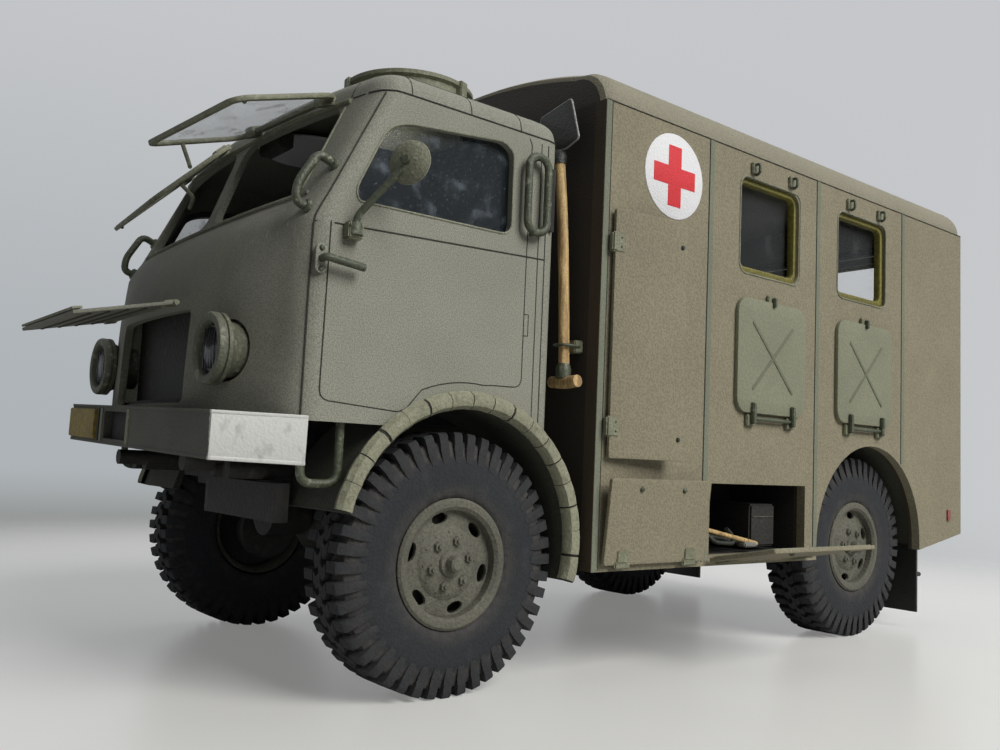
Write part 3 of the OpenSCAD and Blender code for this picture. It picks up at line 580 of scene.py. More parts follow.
def between(rows, t):
    # smooth curve through rows of numbers, t running from 0 to the last row
    k = min(int(t), len(rows) - 2)
    f = t - k
    a, b, c, d = [rows[max(0, min(len(rows) - 1, k + n))] for n in (-1, 0, 1, 2)]
    return [0.5 * (2 * q + (r - p) * f + (2 * p - 5 * q + 4 * r - s) * f * f + (3 * q - p - 3 * r + s) * f ** 3)
            for p, q, r, s in zip(a, b, c, d)]


def postY(z):
    return -20.4 + (z - 54.2) * 0.36


def seamY(z):
    return -20.6 if z <= cab["belt"] else -20.6 + (z - cab["belt"]) * 0.5


def cabLevels():
    # every level of the cab from the bottom to the roof's middle: height, half width, front, seam, rear
    levels = []
    steps = 4 * (len(cab["nose"]) - 1)
    for k in range(steps + 1):
        z, front = between(cab["nose"], k / 4)
        levels.append((z, cab["half"], front, seamY(z), cab["rear"]))
    for k in range(1, 7):
        z = cab["sill"] + (cab["header"] - cab["sill"]) * k / 6
        levels.append((z, cab["half"], postY(z), seamY(z), cab["rear"]))
    lean = seamY(cab["header"]) - postY(cab["header"])
    for k in range(1, 5 * (len(cab["roof"]) - 1) + 1):
        share, back, inwards = between(cab["roof"], k / 5)
        front = postY(cab["header"]) + back
        levels.append((cab["header"] + share * cab["crown"], cab["half"] - inwards, front, front + lean,
                       cab["rear"] - back * 0.35))
    return levels


def frontAt(level, x, inset=0.0):
    z, half, front, seam, rear = level
    return front + (seam - front) * (abs(x) / half) ** 2.2 + inset


def halfOutline(level, inset):
    z, half, front, seam, rear = level
    w = half - inset
    last = w * 0.87
    points = [(last * k / 14, frontAt(level, last * k / 14 * half / w, inset)) for k in range(15)]
    start, corner, end = points[-1], (w, seam + inset - 0.35), (w, seam + inset + 2.2)
    points += [tuple(bend(p, q, r, t) for p, q, r in zip(start, corner, end)) for t in [k / 7 for k in range(1, 8)]]
    rear -= inset
    points += [(w, seam + (rear - 2.4 - seam) * t) for t in (0.35, 0.6, 0.8)]
    points += [tuple(bend(p, q, r, t) for p, q, r in zip((w, rear - 2.4), (w, rear), (w - 2.4, rear)))
               for t in [k / 5 for k in range(6)]]
    return [(x, y, z) for x, y in points] + [(w * 0.4, rear, z)]


def ringAt(level, inset=0.0):
    half = halfOutline(level, inset)
    return half + [(-x, y, z) for x, y, z in reversed(half[1:])]


def makeCab():
    levels = cabLevels()
    skin = cab["skin"]
    outer = loft([ringAt(level) for level in levels])
    inner = [ringAt((levels[0][0] - 1, *levels[0][1:]), skin)] + [ringAt(level, skin) for level in levels[:28]]
    for z, half, front, seam, rear in levels[29:-4]:
        inner.append(ringAt((cab["header"] + (z - cab["header"]) * (1 - skin / cab["crown"]), half, front, seam,
                             rear), skin))
    cutters = [loft(inner),
               placed(plate([roundedBox((-11.6, 31.8), (11.6, 42.4), 0.8)], 20), onFront(-16)),
               placed(plate([circle((19.4, 37.4), 3.4)], 20), onFront(-16)),
               placed(plate([circle((-19.4, 37.4), 3.4)], 20), onFront(-16)),
               placed(plate([circle((10.6, 2.3), 8.6, 48)], 40), Matrix.Translation((0, 0, 62)))]
    for sign in (1, -1):
        low, high = sorted((sign * 1.1, sign * 23.7))
        cutters.append(placed(plate([roundedBox((low, 55), (high, 66), 2)], 40), onFront(0)))
        window = softPath([(y, z, 0) for y, z in cab["doorWindow"]] + [(*cab["doorWindow"][0], 0)], 1.6)
        window = [(p[0], p[1]) for p in window[1:-1]]
        cutters.append(placed(plate([window], 20), onSide(20) if sign > 0 else mirrorX @ onSide(20)))
        cutters.append(placed(plate([circle((0.4, 17.2), 17.1, 64)], 30),
                              onSide(10) if sign > 0 else mirrorX @ onSide(10)))
    return cutAway(outer, cutters)


def levelAt(z):
    levels = cabLevels()
    for low, high in zip(levels, levels[1:]):
        if low[0] <= z <= high[0]:
            t = (z - low[0]) / max(1e-6, high[0] - low[0])
            return tuple(a + (b - a) * t for a, b in zip(low, high))
    return levels[-1]


def cornerPoint(z, out=0.03):
    # the front corner's seam, halfway round the bend
    return halfOutline(levelAt(z), -out)[18]


def makeCabLines():
    lines = []
    side = cab["half"]
    # front seam up the corner post to the roof
    lines.append([cornerPoint(30.4 + k * (66.6 - 30.4) / 40) for k in range(41)])
    # door outline: bottom, over the wheel arch and up the rear edge
    arch = [(side, 0.4 + 17.9 * math.cos(math.radians(a)),
             17.2 + 18.4 * math.sin(math.radians(a))) for a in range(112, 83, -4)]
    lines.append(softPath([(side, -18.6, 50.9), (side, -18.8, 32.3), (side, -8.6, 31.6)] + [arch[0]], 1.2) + arch
                 + softPath([(side, 3.6, 35.6), (side, 8, 35.7), (side, 8, 51.4)], 1.2))
    lines.append([(side, 8, 51.4), (side, 8.2, 65.6), (side, 7.8, 66.4)])
    for y in (9.8, 10.9):
        lines.append([(side, y, 30.6), (side, y, 66.2)])
    # belt line, gutter and the roof's segment joints
    lines.append([cornerPoint(50.7)] + [(side, y, 50.75 + (y + 18) * 0.035) for y in (-18, -8, 2, 8, 10.8)])
    gutter = halfOutline(levelAt(66.9), -0.03)[15:-1]
    lines.append(gutter)
    lines.append(halfOutline(levelAt(70.0), -0.02)[14:-1])
    for y in (-9.5, -1.2, 6.4):
        lines.append([(levelAt(z)[1] + 0.02, y, z) for z in (67.0, 67.8, 68.6, 69.3, 70.0)])
    lines.append([frontPoint(66.9, x) for x in (24.6, 25.6, 26.6)])
    lines.append([frontPoint(z, 24.2) for z in (67, 68, 69)])
    # hinge marks on the door's rear line
    lines.append([(side, 8.0, 42), (side, 8.7, 42), (side, 8.7, 44.6), (side, 8.0, 44.6)])
    wide = [lines[0], lines[5], gutter]
    rest = [line for line in lines if line not in wide]
    return [(tube(wide, 0.1, sides=1), printedLine), (tube(rest, 0.07, sides=1), printedLine)]


def frontPoint(z, x, out=0.03):
    level = levelAt(z)
    return (x, frontAt(level, x) - out, z)


assemble("cabSkin", [(makeCab(), cabCard)], replaces=("cab_shell", "cab_top"), angle=42)
print("cab skin ready")
assemble("cabPrintedLines", bothSides(makeCabLines()))


def makeCabEdges():
    # pale cut edges of the card round the windscreen openings and along the sill, and the hinge strip over them
    parts = []
    sill = [frontPoint(54.6, x, 0.05) for x in [25.8 * k / 16 for k in range(-16, 17)]]
    parts.append((tube([sill], 0.22, sides=2), paleEdge))
    header = [frontPoint(66.5, x, 0.1) for x in [24.5 * k / 14 for k in range(-14, 15)]]
    parts.append((tube([header], 0.35, sides=2), greenPaint))
    edges = bothSides([(tube([softPath([frontPoint(z, 23.9, 0.02) for z in (55.4, 58, 61, 64, 65.8)], 0.5)], 0.14,
                             sides=2), paleEdge)])
    window = softPath([(30.02, y, z) for y, z in cab["doorWindow"]] + [(30.02, *cab["doorWindow"][0])], 1.6)[1:-1]
    edges += bothSides([(tube([window], 0.13, closed=True, sides=2), paleEdge)])
    return parts + edges


assemble("cabEdges", makeCabEdges())

handles = {"wire": 0.5}


def makeHandles():
    wire = handles["wire"]
    grab = softPath([(28, -20.3, 52.3), (28, -21.8, 52.7), (28, -21.7, 54.6), (28, -19.5, 58.4), (28, -17.6, 57.5)],
                    1.3)
    ring = [(31.1, y, z) for y, z in roundedBox((7.0, 54.6), (10.1, 64), 1.4)]
    posts = [[(29.9, 8.6, 54.6), (31.1, 8.6, 54.6)], [(29.9, 8.6, 64), (31.1, 8.6, 64)]]
    lever = softPath([(30, -19.6, 46.7), (31.2, -19.6, 46.75), (31.4, -19.2, 46.7), (31.3, -15.1, 46.3)], 0.4)
    parts = [(tube([grab], wire), wirePaint), (tube(posts, 0.4), wirePaint),
             (tube([ring], wire, closed=True), wirePaint), (tube([lever], 0.42), wirePaint),
             (block((30, 11.0, 55.4), (30.25, 12.1, 63.4), 0.05), darkCard),
             (placed(plate([roundedBox((-20.3, 45.2), (-19, 48.3), 0.6)], 0.35, 0.06), onSide(30)), cabCard),
             rivets([((30.3, -19.65, 47.8), (1, 0, 0)), ((30.3, -19.65, 45.6), (1, 0, 0))], wirePaint, 0.9)]
    ends = [((28, -17.7, 57.5), (0, -1, 0.3)), ((28, -20.5, 52.4), (0, -1, 0.3))]
    parts.append((headsOn(ends, lathe([(0, 0.3), (0.7, 0.28), (0.85, 0.1), (0.85, -0.2), (0, -0.2)], 20), wirePaint),
                  wirePaint))
    return parts


assemble("handles", bothSides(makeHandles()), replaces=("cab_handles",))

mirror = {"centre": (35.2, -12.9, 57.4), "radius": 2.3, "turn": 28, "foot": (31, -16.3, 50.2)}


def makeMirror():
    turn = Matrix.Translation(mirror["centre"]) @ Matrix.Rotation(math.radians(mirror["turn"]), 4,
                                                                  "Z") @ Matrix.Rotation(math.radians(90), 4, "X")
    r = mirror["radius"]
    dish = lathe([(0, 0.62), (r * 0.5, 0.55), (r * 0.88, 0.2), (r, -0.05), (r, -0.3), (r * 0.92, -0.36), (0, -0.3)],
                 40)
    rim = lathe([(r * 0.9, -0.3), (r * 1.02, -0.25), (r * 1.04, -0.45), (r * 0.94, -0.5)], 40, ring=True)
    hub = lathe([(0, 1.1), (0.5, 1.0), (0.6, 0.5), (0.6, 0.3), (0, 0.3)], 20)
    arm = softPath([mirror["foot"], (31.2, -16.3, 51.6), (34.9, -13.4, 56.6), (35.3, -12.6, 57.5)], 1)
    foot = [(block((30, -17.2, 49.2), (31.3, -15.4, 51), 0.15), greenPaint),
            rivets([((31.2, -16.9, 50.5), (1, 0, 0)), ((31.2, -15.7, 49.7), (1, 0, 0))], wirePaint, 0.7),
            (placed(lathe([(0, 0.5), (0.6, 0.45), (0.75, 0.1), (0.75, -0.9), (0, -0.9)], 20),
                    Matrix.Translation((31, -16.3, 50.5))), wirePaint)]
    return [(placed(dish, turn), greenPaint), (placed(rim, turn), paleEdge), (placed(hub, turn), wirePaint),
            (tube([arm], 0.4), wirePaint)] + foot


assemble("mirrors", bothSides(makeMirror()), replaces=("mirrors",))

lamps = {"centre": (19.4, -26.9, 37.4), "radius": 3.9}


def makeHeadlamp():
    r = lamps["radius"]
    shell = lathe([(r - 1.05, 2.4), (r - 1.05, 0.35), (r - 0.9, 0.12), (r - 0.5, 0), (r - 0.12, 0.1), (r, 0.35),
                   (r, 0.8),
                   (r - 0.22, 0.9), (r - 0.22, 1.05), (r, 1.12), (r, 1.5), (r - 0.5, 1.8), (r - 0.9, 2.6),
                   (r - 1.1, 5)], 64)
    bowl = lathe([(0, 3.4), (1, 3.25), (2, 2.6), (r - 1.05, 1.0), (r - 1.05, 1.2), (2.1, 2.9), (1, 3.6), (0, 3.7)],
                 48)
    lens = lathe([(0, 0.38), (1.4, 0.44), (2.3, 0.58), (r - 1.0, 0.85), (r - 1.0, 0.98), (2.3, 0.7), (0, 0.52)], 48)
    pose = Matrix.Translation(lamps["centre"]) @ Matrix.Rotation(math.radians(-90), 4, "X")
    ribs = [(placed(block((x - 0.08, -2.2, 0.4), (x + 0.08, 2.2, 0.62), 0.03), pose),
             lampFilm) for x in (-1.4, -0.7, 0, 0.7, 1.4)]
    return [(placed(shell, pose), lampPaint), (placed(bowl, pose), chassisPaint),
            (placed(lens, pose), lampFilm)] + ribs


assemble("headlamps", bothSides(makeHeadlamp()), replaces=("headlamps", "lamp_glass"))

bumper = {"z": 26.5, "height": 4.9, "y": -28, "tilt": 1.7, "flat": 25.2, "half": 31, "wingY": -20.4,
          "slot": (-10.3, -1.5)}


def makeBumper():
    z, height, y = bumper["z"], bumper["height"], bumper["y"]
    pose = Matrix.Translation((0, 0, z)) @ Matrix.Rotation(math.radians(bumper["tilt"]), 4,
                                                           "Y") @ Matrix.Translation((0, 0, -z))
    front = [(-bumper["half"], bumper["wingY"]), (-bumper["flat"], y), (bumper["flat"], y),
             (bumper["half"], bumper["wingY"])]

    def strip(depth, low, high, out=0.0):
        back = [(x - math.copysign(depth * (0.88 if n in (0, 3) else 0.45), x),
                 w + (0 if n in (0, 3) else depth)) for n, (x, w) in enumerate(front)]
        ahead = [(x + math.copysign(out * 0.7, x), w - (out if n in (1, 2) else 0)) for n, (x, w) in enumerate(front)]
        return placed(plate([ahead + back[::-1]], high - low, 0.08), Matrix.Translation((0, 0, z + low)))
    beam = cutAway(strip(1.05, 0, height),
                   [block((bumper["slot"][0], -40, z + 0.7), (bumper["slot"][1], -20, z + 4.2), 0)])
    pieces = [(beam, bumperCard), (strip(2.4, -0.05, 0.35, 0.06), bumperCard),
              (strip(1.2, height - 0.3, height + 0.05, 0.06), bumperCard),
              (block((bumper["slot"][0] - 0.3, y + 1, z + 0.5), (bumper["slot"][1] + 0.3, y + 2.6, z + 4.4), 0.1),
               darkCard),
              (block((-25.1, y - 0.4, z + 0.5), (-13.4, y + 0.1, z + 4.4), 0.1), yellowPlate),
              (block((-12.6, y - 0.12, z + 0.35), (-12.3, y + 0.1, z + 4.6), 0.04), printedLine)]
    for x in (-11.2, -0.6):
        pieces.append((block((x - 0.45, y - 0.15, z + 0.3), (x + 0.45, y + 0.1, z + 4.6), 0.06), greenPaint))
    parts = [(placed(mesh, pose), material) for mesh, material in pieces]
    irons = bothSides([(block((10, y + 1, z + 0.9), (12, -13.5, z + 3.2), 0.15), chassisPaint),
                       (tube([[(11.4, -25.5, 25.2), (11.4, -14, 25.2)]], 1.0), chassisPaint)])
    return parts + irons


assemble("bumper", makeBumper(), replaces=("bumper",))

arch = {"centre": (0.4, 17.2), "inner": 15.7, "lipInner": 15.4, "lipOuter": 17.5, "inside": 17.5, "edge": 30.1,
        "outside": 31.5,
        "from": 167, "to": -16.5, "strips": 17}


def makeFender():
    (cy, cz), first, last = arch["centre"], arch["from"], arch["to"]

    def sweep(profile, steps):
        rings = []
        for k in range(steps + 1):
            a = math.radians(first + (last - first) * k / steps)
            rings.append([(x, cy + r * math.cos(a), cz + r * math.sin(a)) for x, r in profile])
        return loft(rings)
    inside, edge, under = arch["inside"], arch["edge"], arch["inner"]
    inner = sweep([(inside, under), (edge, under), (edge, under + 0.9), (inside, under + 0.9)], 48)
    outside, low, high = arch["outside"], arch["lipInner"], arch["lipOuter"]
    lip = [(edge - 0.2, high - 0.3), (edge - 0.2, low), (outside - 0.9, low - 0.05), (outside - 0.2, low + 0.35),
           (outside, low + 1.0), (outside - 0.15, high - 0.5), (outside - 0.8, high - 0.05)]
    # one laminated strip, repeated along the arch with narrow open joints
    angle = (first - last) / arch["strips"]
    rings = []
    for k in range(5):
        a = math.radians(-angle * 0.47 + angle * 0.94 * k / 4)
        swell = -0.06 if k in (0, 4) else 0.0
        rings.append([(-(r + swell) * math.sin(a), (r + swell) * math.cos(a), x) for x, r in lip])
    strip = loft(rings)
    start = math.radians(last + angle / 2 - 90)
    segments = repeatRound(strip, arch["strips"], lipPaint, math.radians(angle), start, 0.009, 5)
    turn = Matrix.Translation((0, cy, cz)) @ onSide(0)
    core = sweep([(x if x < 31 else x - 0.12, r + 0.1 if r < 16 else r - 0.1) for x, r in lip], 48)
    return [(inner, fenderInside), (placed(segments, turn), lipPaint), (core, jointShadow)]


assemble("fenders", bothSides(makeFender()), replaces=("fenders", "fender_lips"))

steps = softPath([(28.3, -19.4, 31.2), (28.3, -19.6, 23.7), (28.3, -15.2, 23.7), (28.3, -15.2, 31.2)], 1.5)
assemble("stepLoops", bothSides([(tube([steps], 0.48), wirePaint)]), replaces=("step_loops",))

hatch = {"centre": (10.6, 2.3), "low": 70.2, "top": 76, "inner": 7.2, "outer": 8.7}


def makeHatch():
    i, o, low, top = hatch["inner"], hatch["outer"], hatch["low"], hatch["top"]
    ring = lathe([(i, low), (o, low), (o, 73.6), (o - 0.45, 74.1), (o - 0.45, top - 0.9), (o, top - 0.6),
                  (o, top - 0.1), (o - 0.15, top),
                  (i + 0.1, top), (i, top - 0.15)], 72, ring=True)
    place = Matrix.Translation((*hatch["centre"], 0))
    parts = [(placed(ring, place), greenPaint)]
    band = lathe([(o - 0.3, 73.3), (o + 0.9, 73.2), (o + 0.9, 73.35), (o - 0.3, 73.7)], 72, ring=True)
    parts.append((placed(band, place), cabCard))
    for turn in (20, 140, 260):
        tab = block((o - 0.5, -0.7, top - 2.3), (o + 0.35, 0.7, top + 0.1), 0.12)
        parts.append((placed(tab, place @ Matrix.Rotation(math.radians(turn), 4, "Z")), greenPaint))
    return parts


assemble("hatchRing", makeHatch(), replaces=("hatch_ring",))

screens = {"width": 22.9, "height": 13.4, "frame": 0.8, "tilt": 19.8, "sweep": 4.5, "hinge": (1.4, -17.1, 67.0),
           "open": {"left": 51.6, "right": 25.5}}


def screenPose(side):
    turn = -math.radians(screens["tilt"] + screens["open"][side])
    pose = Matrix.Translation(screens["hinge"]) @ Matrix.Rotation(math.radians(screens["sweep"]), 4,
                                                                  "Z") @ Matrix.Rotation(turn, 4, "X")
    return pose if side == "left" else mirrorX @ pose


def makeScreen(side):
    w, h, f = screens["width"], screens["height"], screens["frame"]
    outline = roundedBox((0, -h), (w, 0), 2)
    hole = roundedBox((f, f - h), (w - f, -f), 1.3)[::-1]
    parts = [(placed(plate([outline, hole], 0.55, 0.1), onFront(0.27)), greenPaint),
             (tube([[(1.5, 0, 0), (w - 1.5, 0, 0)]], 0.36), greenPaint)]
    for x in (3.2, w - 3.8):
        parts.append((block((x, -0.62, -1.2), (x + 1.7, 0.62, 0.55), 0.1), greenPaint))
    # pressed edge line inside the frame, and the stay that props the pane
    groove = [(x, -0.29, z) for x, z in roundedBox((0.4, 0.4 - h), (w - 0.4, -0.4), 1.7)]
    parts.append((tube([groove], 0.07, closed=True, sides=1), wirePaint))
    stay = softPath([(1.0, 0.2, -h * 0.66), (1.0, 2.6, -h * 0.64), (2.6, 3.4, -h * 0.7)], 0.5)
    parts.append((tube([stay], 0.26), greenPaint))
    parts.append(rivets([((1.0, 0.3, -h * 0.66), (0, 1, 0)), ((w - 0.6, 0.3, -h + 1.4), (0, 1, 0))], wirePaint, 0.7))
    parts.append((placed(plate([roundedBox((f - 0.25, f - 0.25 - h), (w - f + 0.25, 0.25 - f), 1.4)], 0.14),
                         onFront(0.07)), clearFilm))
    return [(placed(mesh, screenPose(side)), material) for mesh, material in parts]


for side in ("left", "right"):
    assemble("windscreenFrame" + side.capitalize(), makeScreen(side), "windscreen_" + side,
             ("screen_" + side, "screen_glass_" + side))

flap = {"hinge": (0, -27.7, 42.9), "open": 77, "length": 10.8, "half": 12}


def makeNoseFlap():
    pose = Matrix.Translation(flap["hinge"]) @ Matrix.Rotation(-math.radians(flap["open"]), 4, "X")
    length, half = flap["length"], flap["half"]
    panel = placed(plate([[(-half, -0.2), (-half + 0.5, -length), (half - 0.5, -length), (half, -0.2)][::-1]], 0.4,
                         0.08), onFront(0.2))
    bend = placed(plate([[(-half + 0.5, -length), (half - 0.5, -length), (half - 0.8, -length + 1.1),
                          (-half + 0.8, -length + 1.1)]], 0.3, 0.08), onFront(-0.3))
    slats = [(block((-half + 1.6, 0.18, -z), (half - 1.6, 0.34, -z + 0.35), 0.05),
              fenderInside) for z in (3, 5, 7, 9)]
    hinge = tube([[(-12.3, 0, 0), (12.3, 0, 0)]], 0.3)
    knuckles = [(block((x, -0.4, -1.1), (x + 1.2, 0.4, 0.4), 0.12), greenPaint) for x in (-11.6, 10.2)]
    return [(placed(m, pose), k) for m, k in [(panel, cabCard), (bend, paleEdge),
                                              (hinge, greenPaint)] + slats + knuckles]


assemble("noseFlap", makeNoseFlap(), "nose_flap_body", ("nose_flap",))
print("cab fittings ready")

tyre = {"outer": 14.95, "base": 14.05, "half": 4.0, "bead": 7.35, "lugs": 44, "wheel": 7.05}


def withDust(mesh, rule):
    layer = mesh.attributes.new("dust", "FLOAT", "POINT")
    for value, vert in zip(layer.data, mesh.vertices):
        value.value = rule(vert.co)
    return mesh


def wedge(rows):
    return loft([[Vector(point) for point in ring] for ring in rows])


def makeTyre():
    base, half, top = tyre["base"], tyre["half"], tyre["outer"]
    profile = [(tyre["bead"], half - 0.7), (7.7, half - 0.3), (8.2, half - 0.1), (9.4, half), (11, half),
               (11.9, half - 0.12), (12.4, half - 0.32),
               (13.2, half - 0.5), (base - 0.25, half - 0.75), (base, half - 1.3), (base, 1.2), (base, 0)]
    ring = profile + [(r, -h) for r, h in reversed(profile[:-1])] + [(tyre["bead"] + 0.1, -half + 0.9),
                                                                     (tyre["bead"] + 0.1, half - 0.9)]
    carcass = withDust(lathe(ring, 132, ring=True),
                       lambda co: max(0.0,
                                      1 - (math.hypot(co.x,
                                                      co.y) - 7.3) / 1.9) if math.hypot(co.x, co.y) < 12 else 0.9)
    parts = [carcass]
    pitch = 2 * math.pi / tyre["lugs"]
    # one shoulder lug: over the tread edge and down the side wall, its end narrower

    def lug(sign):
        rows = []
        for radius, height, wide, reach in ((11.55, half - 0.02, 0.34, 0.06), (12.5, half - 0.06, 0.50, 0.22),
                                            (13.6, half - 0.16, 0.56, 0.42),
                                            (14.6, half - 0.3, 0.58, 0.7), (top - 0.02, half - 0.55, 0.58, 0.9),
                                            (top, half - 1.3, 0.6, 0.9), (top, 1.5, 0.6, 0.9)):
            inner = (radius - reach, height) if radius < 14.5 else (radius - 0.95, min(height, half - 0.9))
            w = wide * pitch * 14.95 * 0.5
            rows.append([(inner[0], -w, sign * inner[1]), (radius, -w * 0.92, sign * height),
                         (radius, w * 0.92, sign * height), (inner[0], w, sign * inner[1])])
        return wedge(rows)
    for sign, start in ((1, 0.0), (-1, pitch / 2)):
        mesh = repeatRound(lug(sign), tyre["lugs"], tyreRubber, start=start, wobble=0.008, seed=7 + sign)
        parts.append(withDust(mesh, lambda co: 0.12 if math.hypot(co.x, co.y) > 14.4 else 0.22))
    # zigzag blocks along the crown
    for sign, start in ((1, pitch / 4), (-1, 3 * pitch / 4)):
        z0, z1, w = 0.12 * sign, 1.32 * sign, pitch * 14.95 * 0.36
        rows = [[(base - 0.05, -w + s, z), (top, -w * 0.85 + s, z), (top, w * 0.85 + s, z),
                 (base - 0.05, w + s, z)] for z, s in ((z0 - 0.3 * sign, -0.35), (0.5 * (z0 + z1), 0.3), (z1, -0.3))]
        mesh = repeatRound(wedge(rows), tyre["lugs"], tyreRubber, start=start, wobble=0.01, seed=11 + sign)
        parts.append(withDust(mesh, lambda co: 0.3))
    return parts


def makeWheel():
    r = tyre["wheel"]
    rim = lathe([(r, -3.2), (r, 3.0), (r + 0.35, 3.3), (r + 0.4, 3.75), (r + 0.1, 4.0), (r - 0.55, 3.95),
                 (r - 0.95, 3.6), (r - 1.05, 2.6), (r - 0.9, 2.1),
                 (r - 0.9, -2.2), (r - 0.4, -3.0)], 96, ring=True)
    # the disc with six oval vents near its edge, slightly domed
    holes = []
    for k in range(6):
        turn = math.radians(60 * k + 12)
        oval = []
        for n in range(16):
            a = 2 * math.pi * n / 16
            along, across = 1.1 * math.cos(a), 0.62 * math.sin(a)
            radius = 5.25 + across
            oval.append((radius * math.cos(turn + along / 5.25), radius * math.sin(turn + along / 5.25)))
        holes.append(oval[::-1])
    disc = placed(plate([circle((0, 0), r - 0.9, 72)] + holes, 0.55, 0.1), Matrix.Translation((0, 0, 2.1)))
    dome = lathe([(0, 3.3), (1.6, 3.28), (2.9, 3.2), (3.6, 3.0), (4.1, 2.72), (4.25, 2.6), (0, 2.6)], 64)
    boss = lathe([(0, 4.9), (0.6, 4.85), (0.85, 4.65), (0.95, 4.2), (1.0, 3.7), (1.45, 3.6), (1.6, 3.4), (1.65, 3.2),
                  (0, 3.2)], 32)
    back = lathe([(0, 1.2), (5.2, 1.2), (6.0, 0.6), (6.1, -1.2), (5.8, -1.6), (0, -1.6)], 48)
    nuts = []
    for k in range(6):
        a = math.radians(60 * k + 40)
        nuts.append(((2.65 * math.cos(a), 2.65 * math.sin(a), 3.15), (0, 0, 1)))
    studs = headsOn(nuts, nutHead, wheelPaint, 0.95)
    small = [((3.55 * math.cos(math.radians(30 * k)), 3.55 * math.sin(math.radians(30 * k)), 3.0),
              (0, 0, 1)) for k in range(12)]
    return [(rim, wheelPaint), (disc, wheelPaint), (dome, wheelPaint), (boss, wheelPaint), (back, darkCard),
            (studs, wheelPaint),
            rivets(small, wheelPaint, 0.4)]


tyreParts, wheelParts = makeTyre(), makeWheel()
for corner in ("front_left", "front_right", "rear_left", "rear_right"):
    place = Vector(joints["wheel_%s_spin" % corner]["pos_m"]) - Vector((0, axleY, 0))
    facing = 1 if "left" in corner else -1
    turned = 33 if "front" in corner else 10
    pose = Matrix.Translation(place / millimetre) @ matrixOf((0, facing, 0), (0, 0, 1), (facing, 0, 0),
                                                             (0, 0,
                                                              0)) @ Matrix.Rotation(math.radians(turned), 4, "Z")
    title = "".join(word.capitalize() for word in corner.split("_"))
    assemble("tyre" + title, [(placed(mesh, pose), tyreRubber) for mesh in tyreParts], "wheel_" + corner,
             ("tyre_" + corner,), 30)
    assemble("wheel" + title, [(placed(mesh, pose), material) for mesh, material in wheelParts], "wheel_" + corner,
             ("rim_" + corner,), 34)
print("wheels ready")

van = {"half": 32, "front": 18.8, "rear": 116.4, "wallTop": 74.1, "crown": 8.8, "edge": 5,
       "joints": (39.9, 67.0, 93.9), "corner": 1.1}


def makeVanRoof():
    half, top, crown = van["half"], van["wallTop"], van["crown"]
    profile = vanRoofProfile()
    rings = []
    front, rear = van["front"], van["rear"]
    for y, inset, drop in ((front + 0.02, 1.4, 1.6), (front + 0.35, 0.55, 0.7), (front + 1.1, 0.1, 0.15),
                           (front + 2.4, 0, 0),
                           (rear - 2.2, 0, 0), (rear - 1.0, 0.1, 0.15), (rear - 0.3, 0.5, 0.65),
                           (rear - 0.02, 1.3, 1.5)):
        squash = 1 - drop / (2 * crown)
        rings.append([(x * (1 - inset / half), y,
                       top + max(0.02, (z - top) * squash - drop * 0.3 * min(1, (z - top) / 2)))
                      for x, z in profile])
    shell = loft([[*ring, (ring[-1][0], ring[0][1], top - 0.05),
                   (ring[0][0], ring[0][1], top - 0.05)] for ring in rings])
    cavity = loft([[(x * (1 - 1.2 / half), y, max(top - 2, z - 1.1)) for x,
                    z in profile] + [(profile[-1][0] * 0.96, y, top - 2), (profile[0][0] * 0.96, y, top - 2)]
                   for y in (front + 1.5, rear - 1.5)])
    return cutAway(shell, [cavity])


def vanRoofProfile():
    # round edge, then the shallow crown, from the right to the left
    half, top, crown, edge = van["half"], van["wallTop"], van["crown"], van["edge"]
    big = ((half - edge) ** 2 + (crown - edge) ** 2) / (2 * (crown - edge))
    turn = math.asin((half - edge) / big)
    points = [(-(half - edge) - edge * math.cos(math.radians(a)),
               top + edge * math.sin(math.radians(a))) for a in range(0, 85, 7)]
    points += [(-big * math.sin(turn * k / 22),
                top + crown - big + big * math.cos(turn * k / 22)) for k in range(22, -1, -1)]
    return points + [(-x, z) for x, z in reversed(points[:-1])]


assemble("vanRoof", [(makeVanRoof(), roofCardShadedFront)], replaces=("van_roof",), angle=30)


def makeVanLines():
    lines, strips = [], []
    side, top = van["half"] + 0.02, van["wallTop"]
    for y, low in zip(van["joints"], (14.2, 14.2, 29.3)):
        lines.append([(side, y, low), (side, y, top)])
        strips.append((placed(plate([[(y + 0.1, low + 0.1), (y + 1.0, low + 0.1), (y + 1.0, top), (y + 0.1, top)]],
                                    0.06), onSide(side - 0.02)), stripPaint))
    front, corner = van["front"] + 0.05, van["front"] + van["corner"]
    lines.append([(side, corner, 13.8), (side, corner, top)])
    strips.append((placed(plate([[(front, 13.7), (corner - 0.08, 13.7), (corner - 0.08, top), (front, top)]], 0.06),
                          onSide(side - 0.02)), stripPaint))
    lines.append([(side, y, top) for y in (van["front"] + 0.2, van["rear"] - 0.2)])
    return [(tube(lines, 0.09, sides=1), printedLine)] + strips


assemble("vanPrintedLines", bothSides(makeVanLines()))

windows = {"left": (47.1, 73.1), "low": 56, "width": 15.3, "height": 14.6, "corner": 1.6}


def makeWindowFrames():
    parts = []
    z, w, h, r = windows["low"], windows["width"], windows["height"], windows["corner"]
    for y in windows["left"]:
        outer = roundedBox((y - 0.02, z - 0.02), (y + w + 0.02, z + h + 0.02), r + 0.1)
        inner = roundedBox((y + 0.85, z + 1.15), (y + w - 0.85, z + h - 0.85), r - 0.5)[::-1]
        parts.append((placed(plate([outer, inner], 1.2, 0.12), onSide(van["half"] - 1.75)), yellowOlive))
        edge = [(van["half"] + 0.02, a, b) for a, b in roundedBox((y, z), (y + w, z + h), r)]
        parts.append((tube([edge], 0.14, closed=True, sides=2), paleEdge))
    return parts


assemble("windowFrames", bothSides(makeWindowFrames()), replaces=("window_frames",))

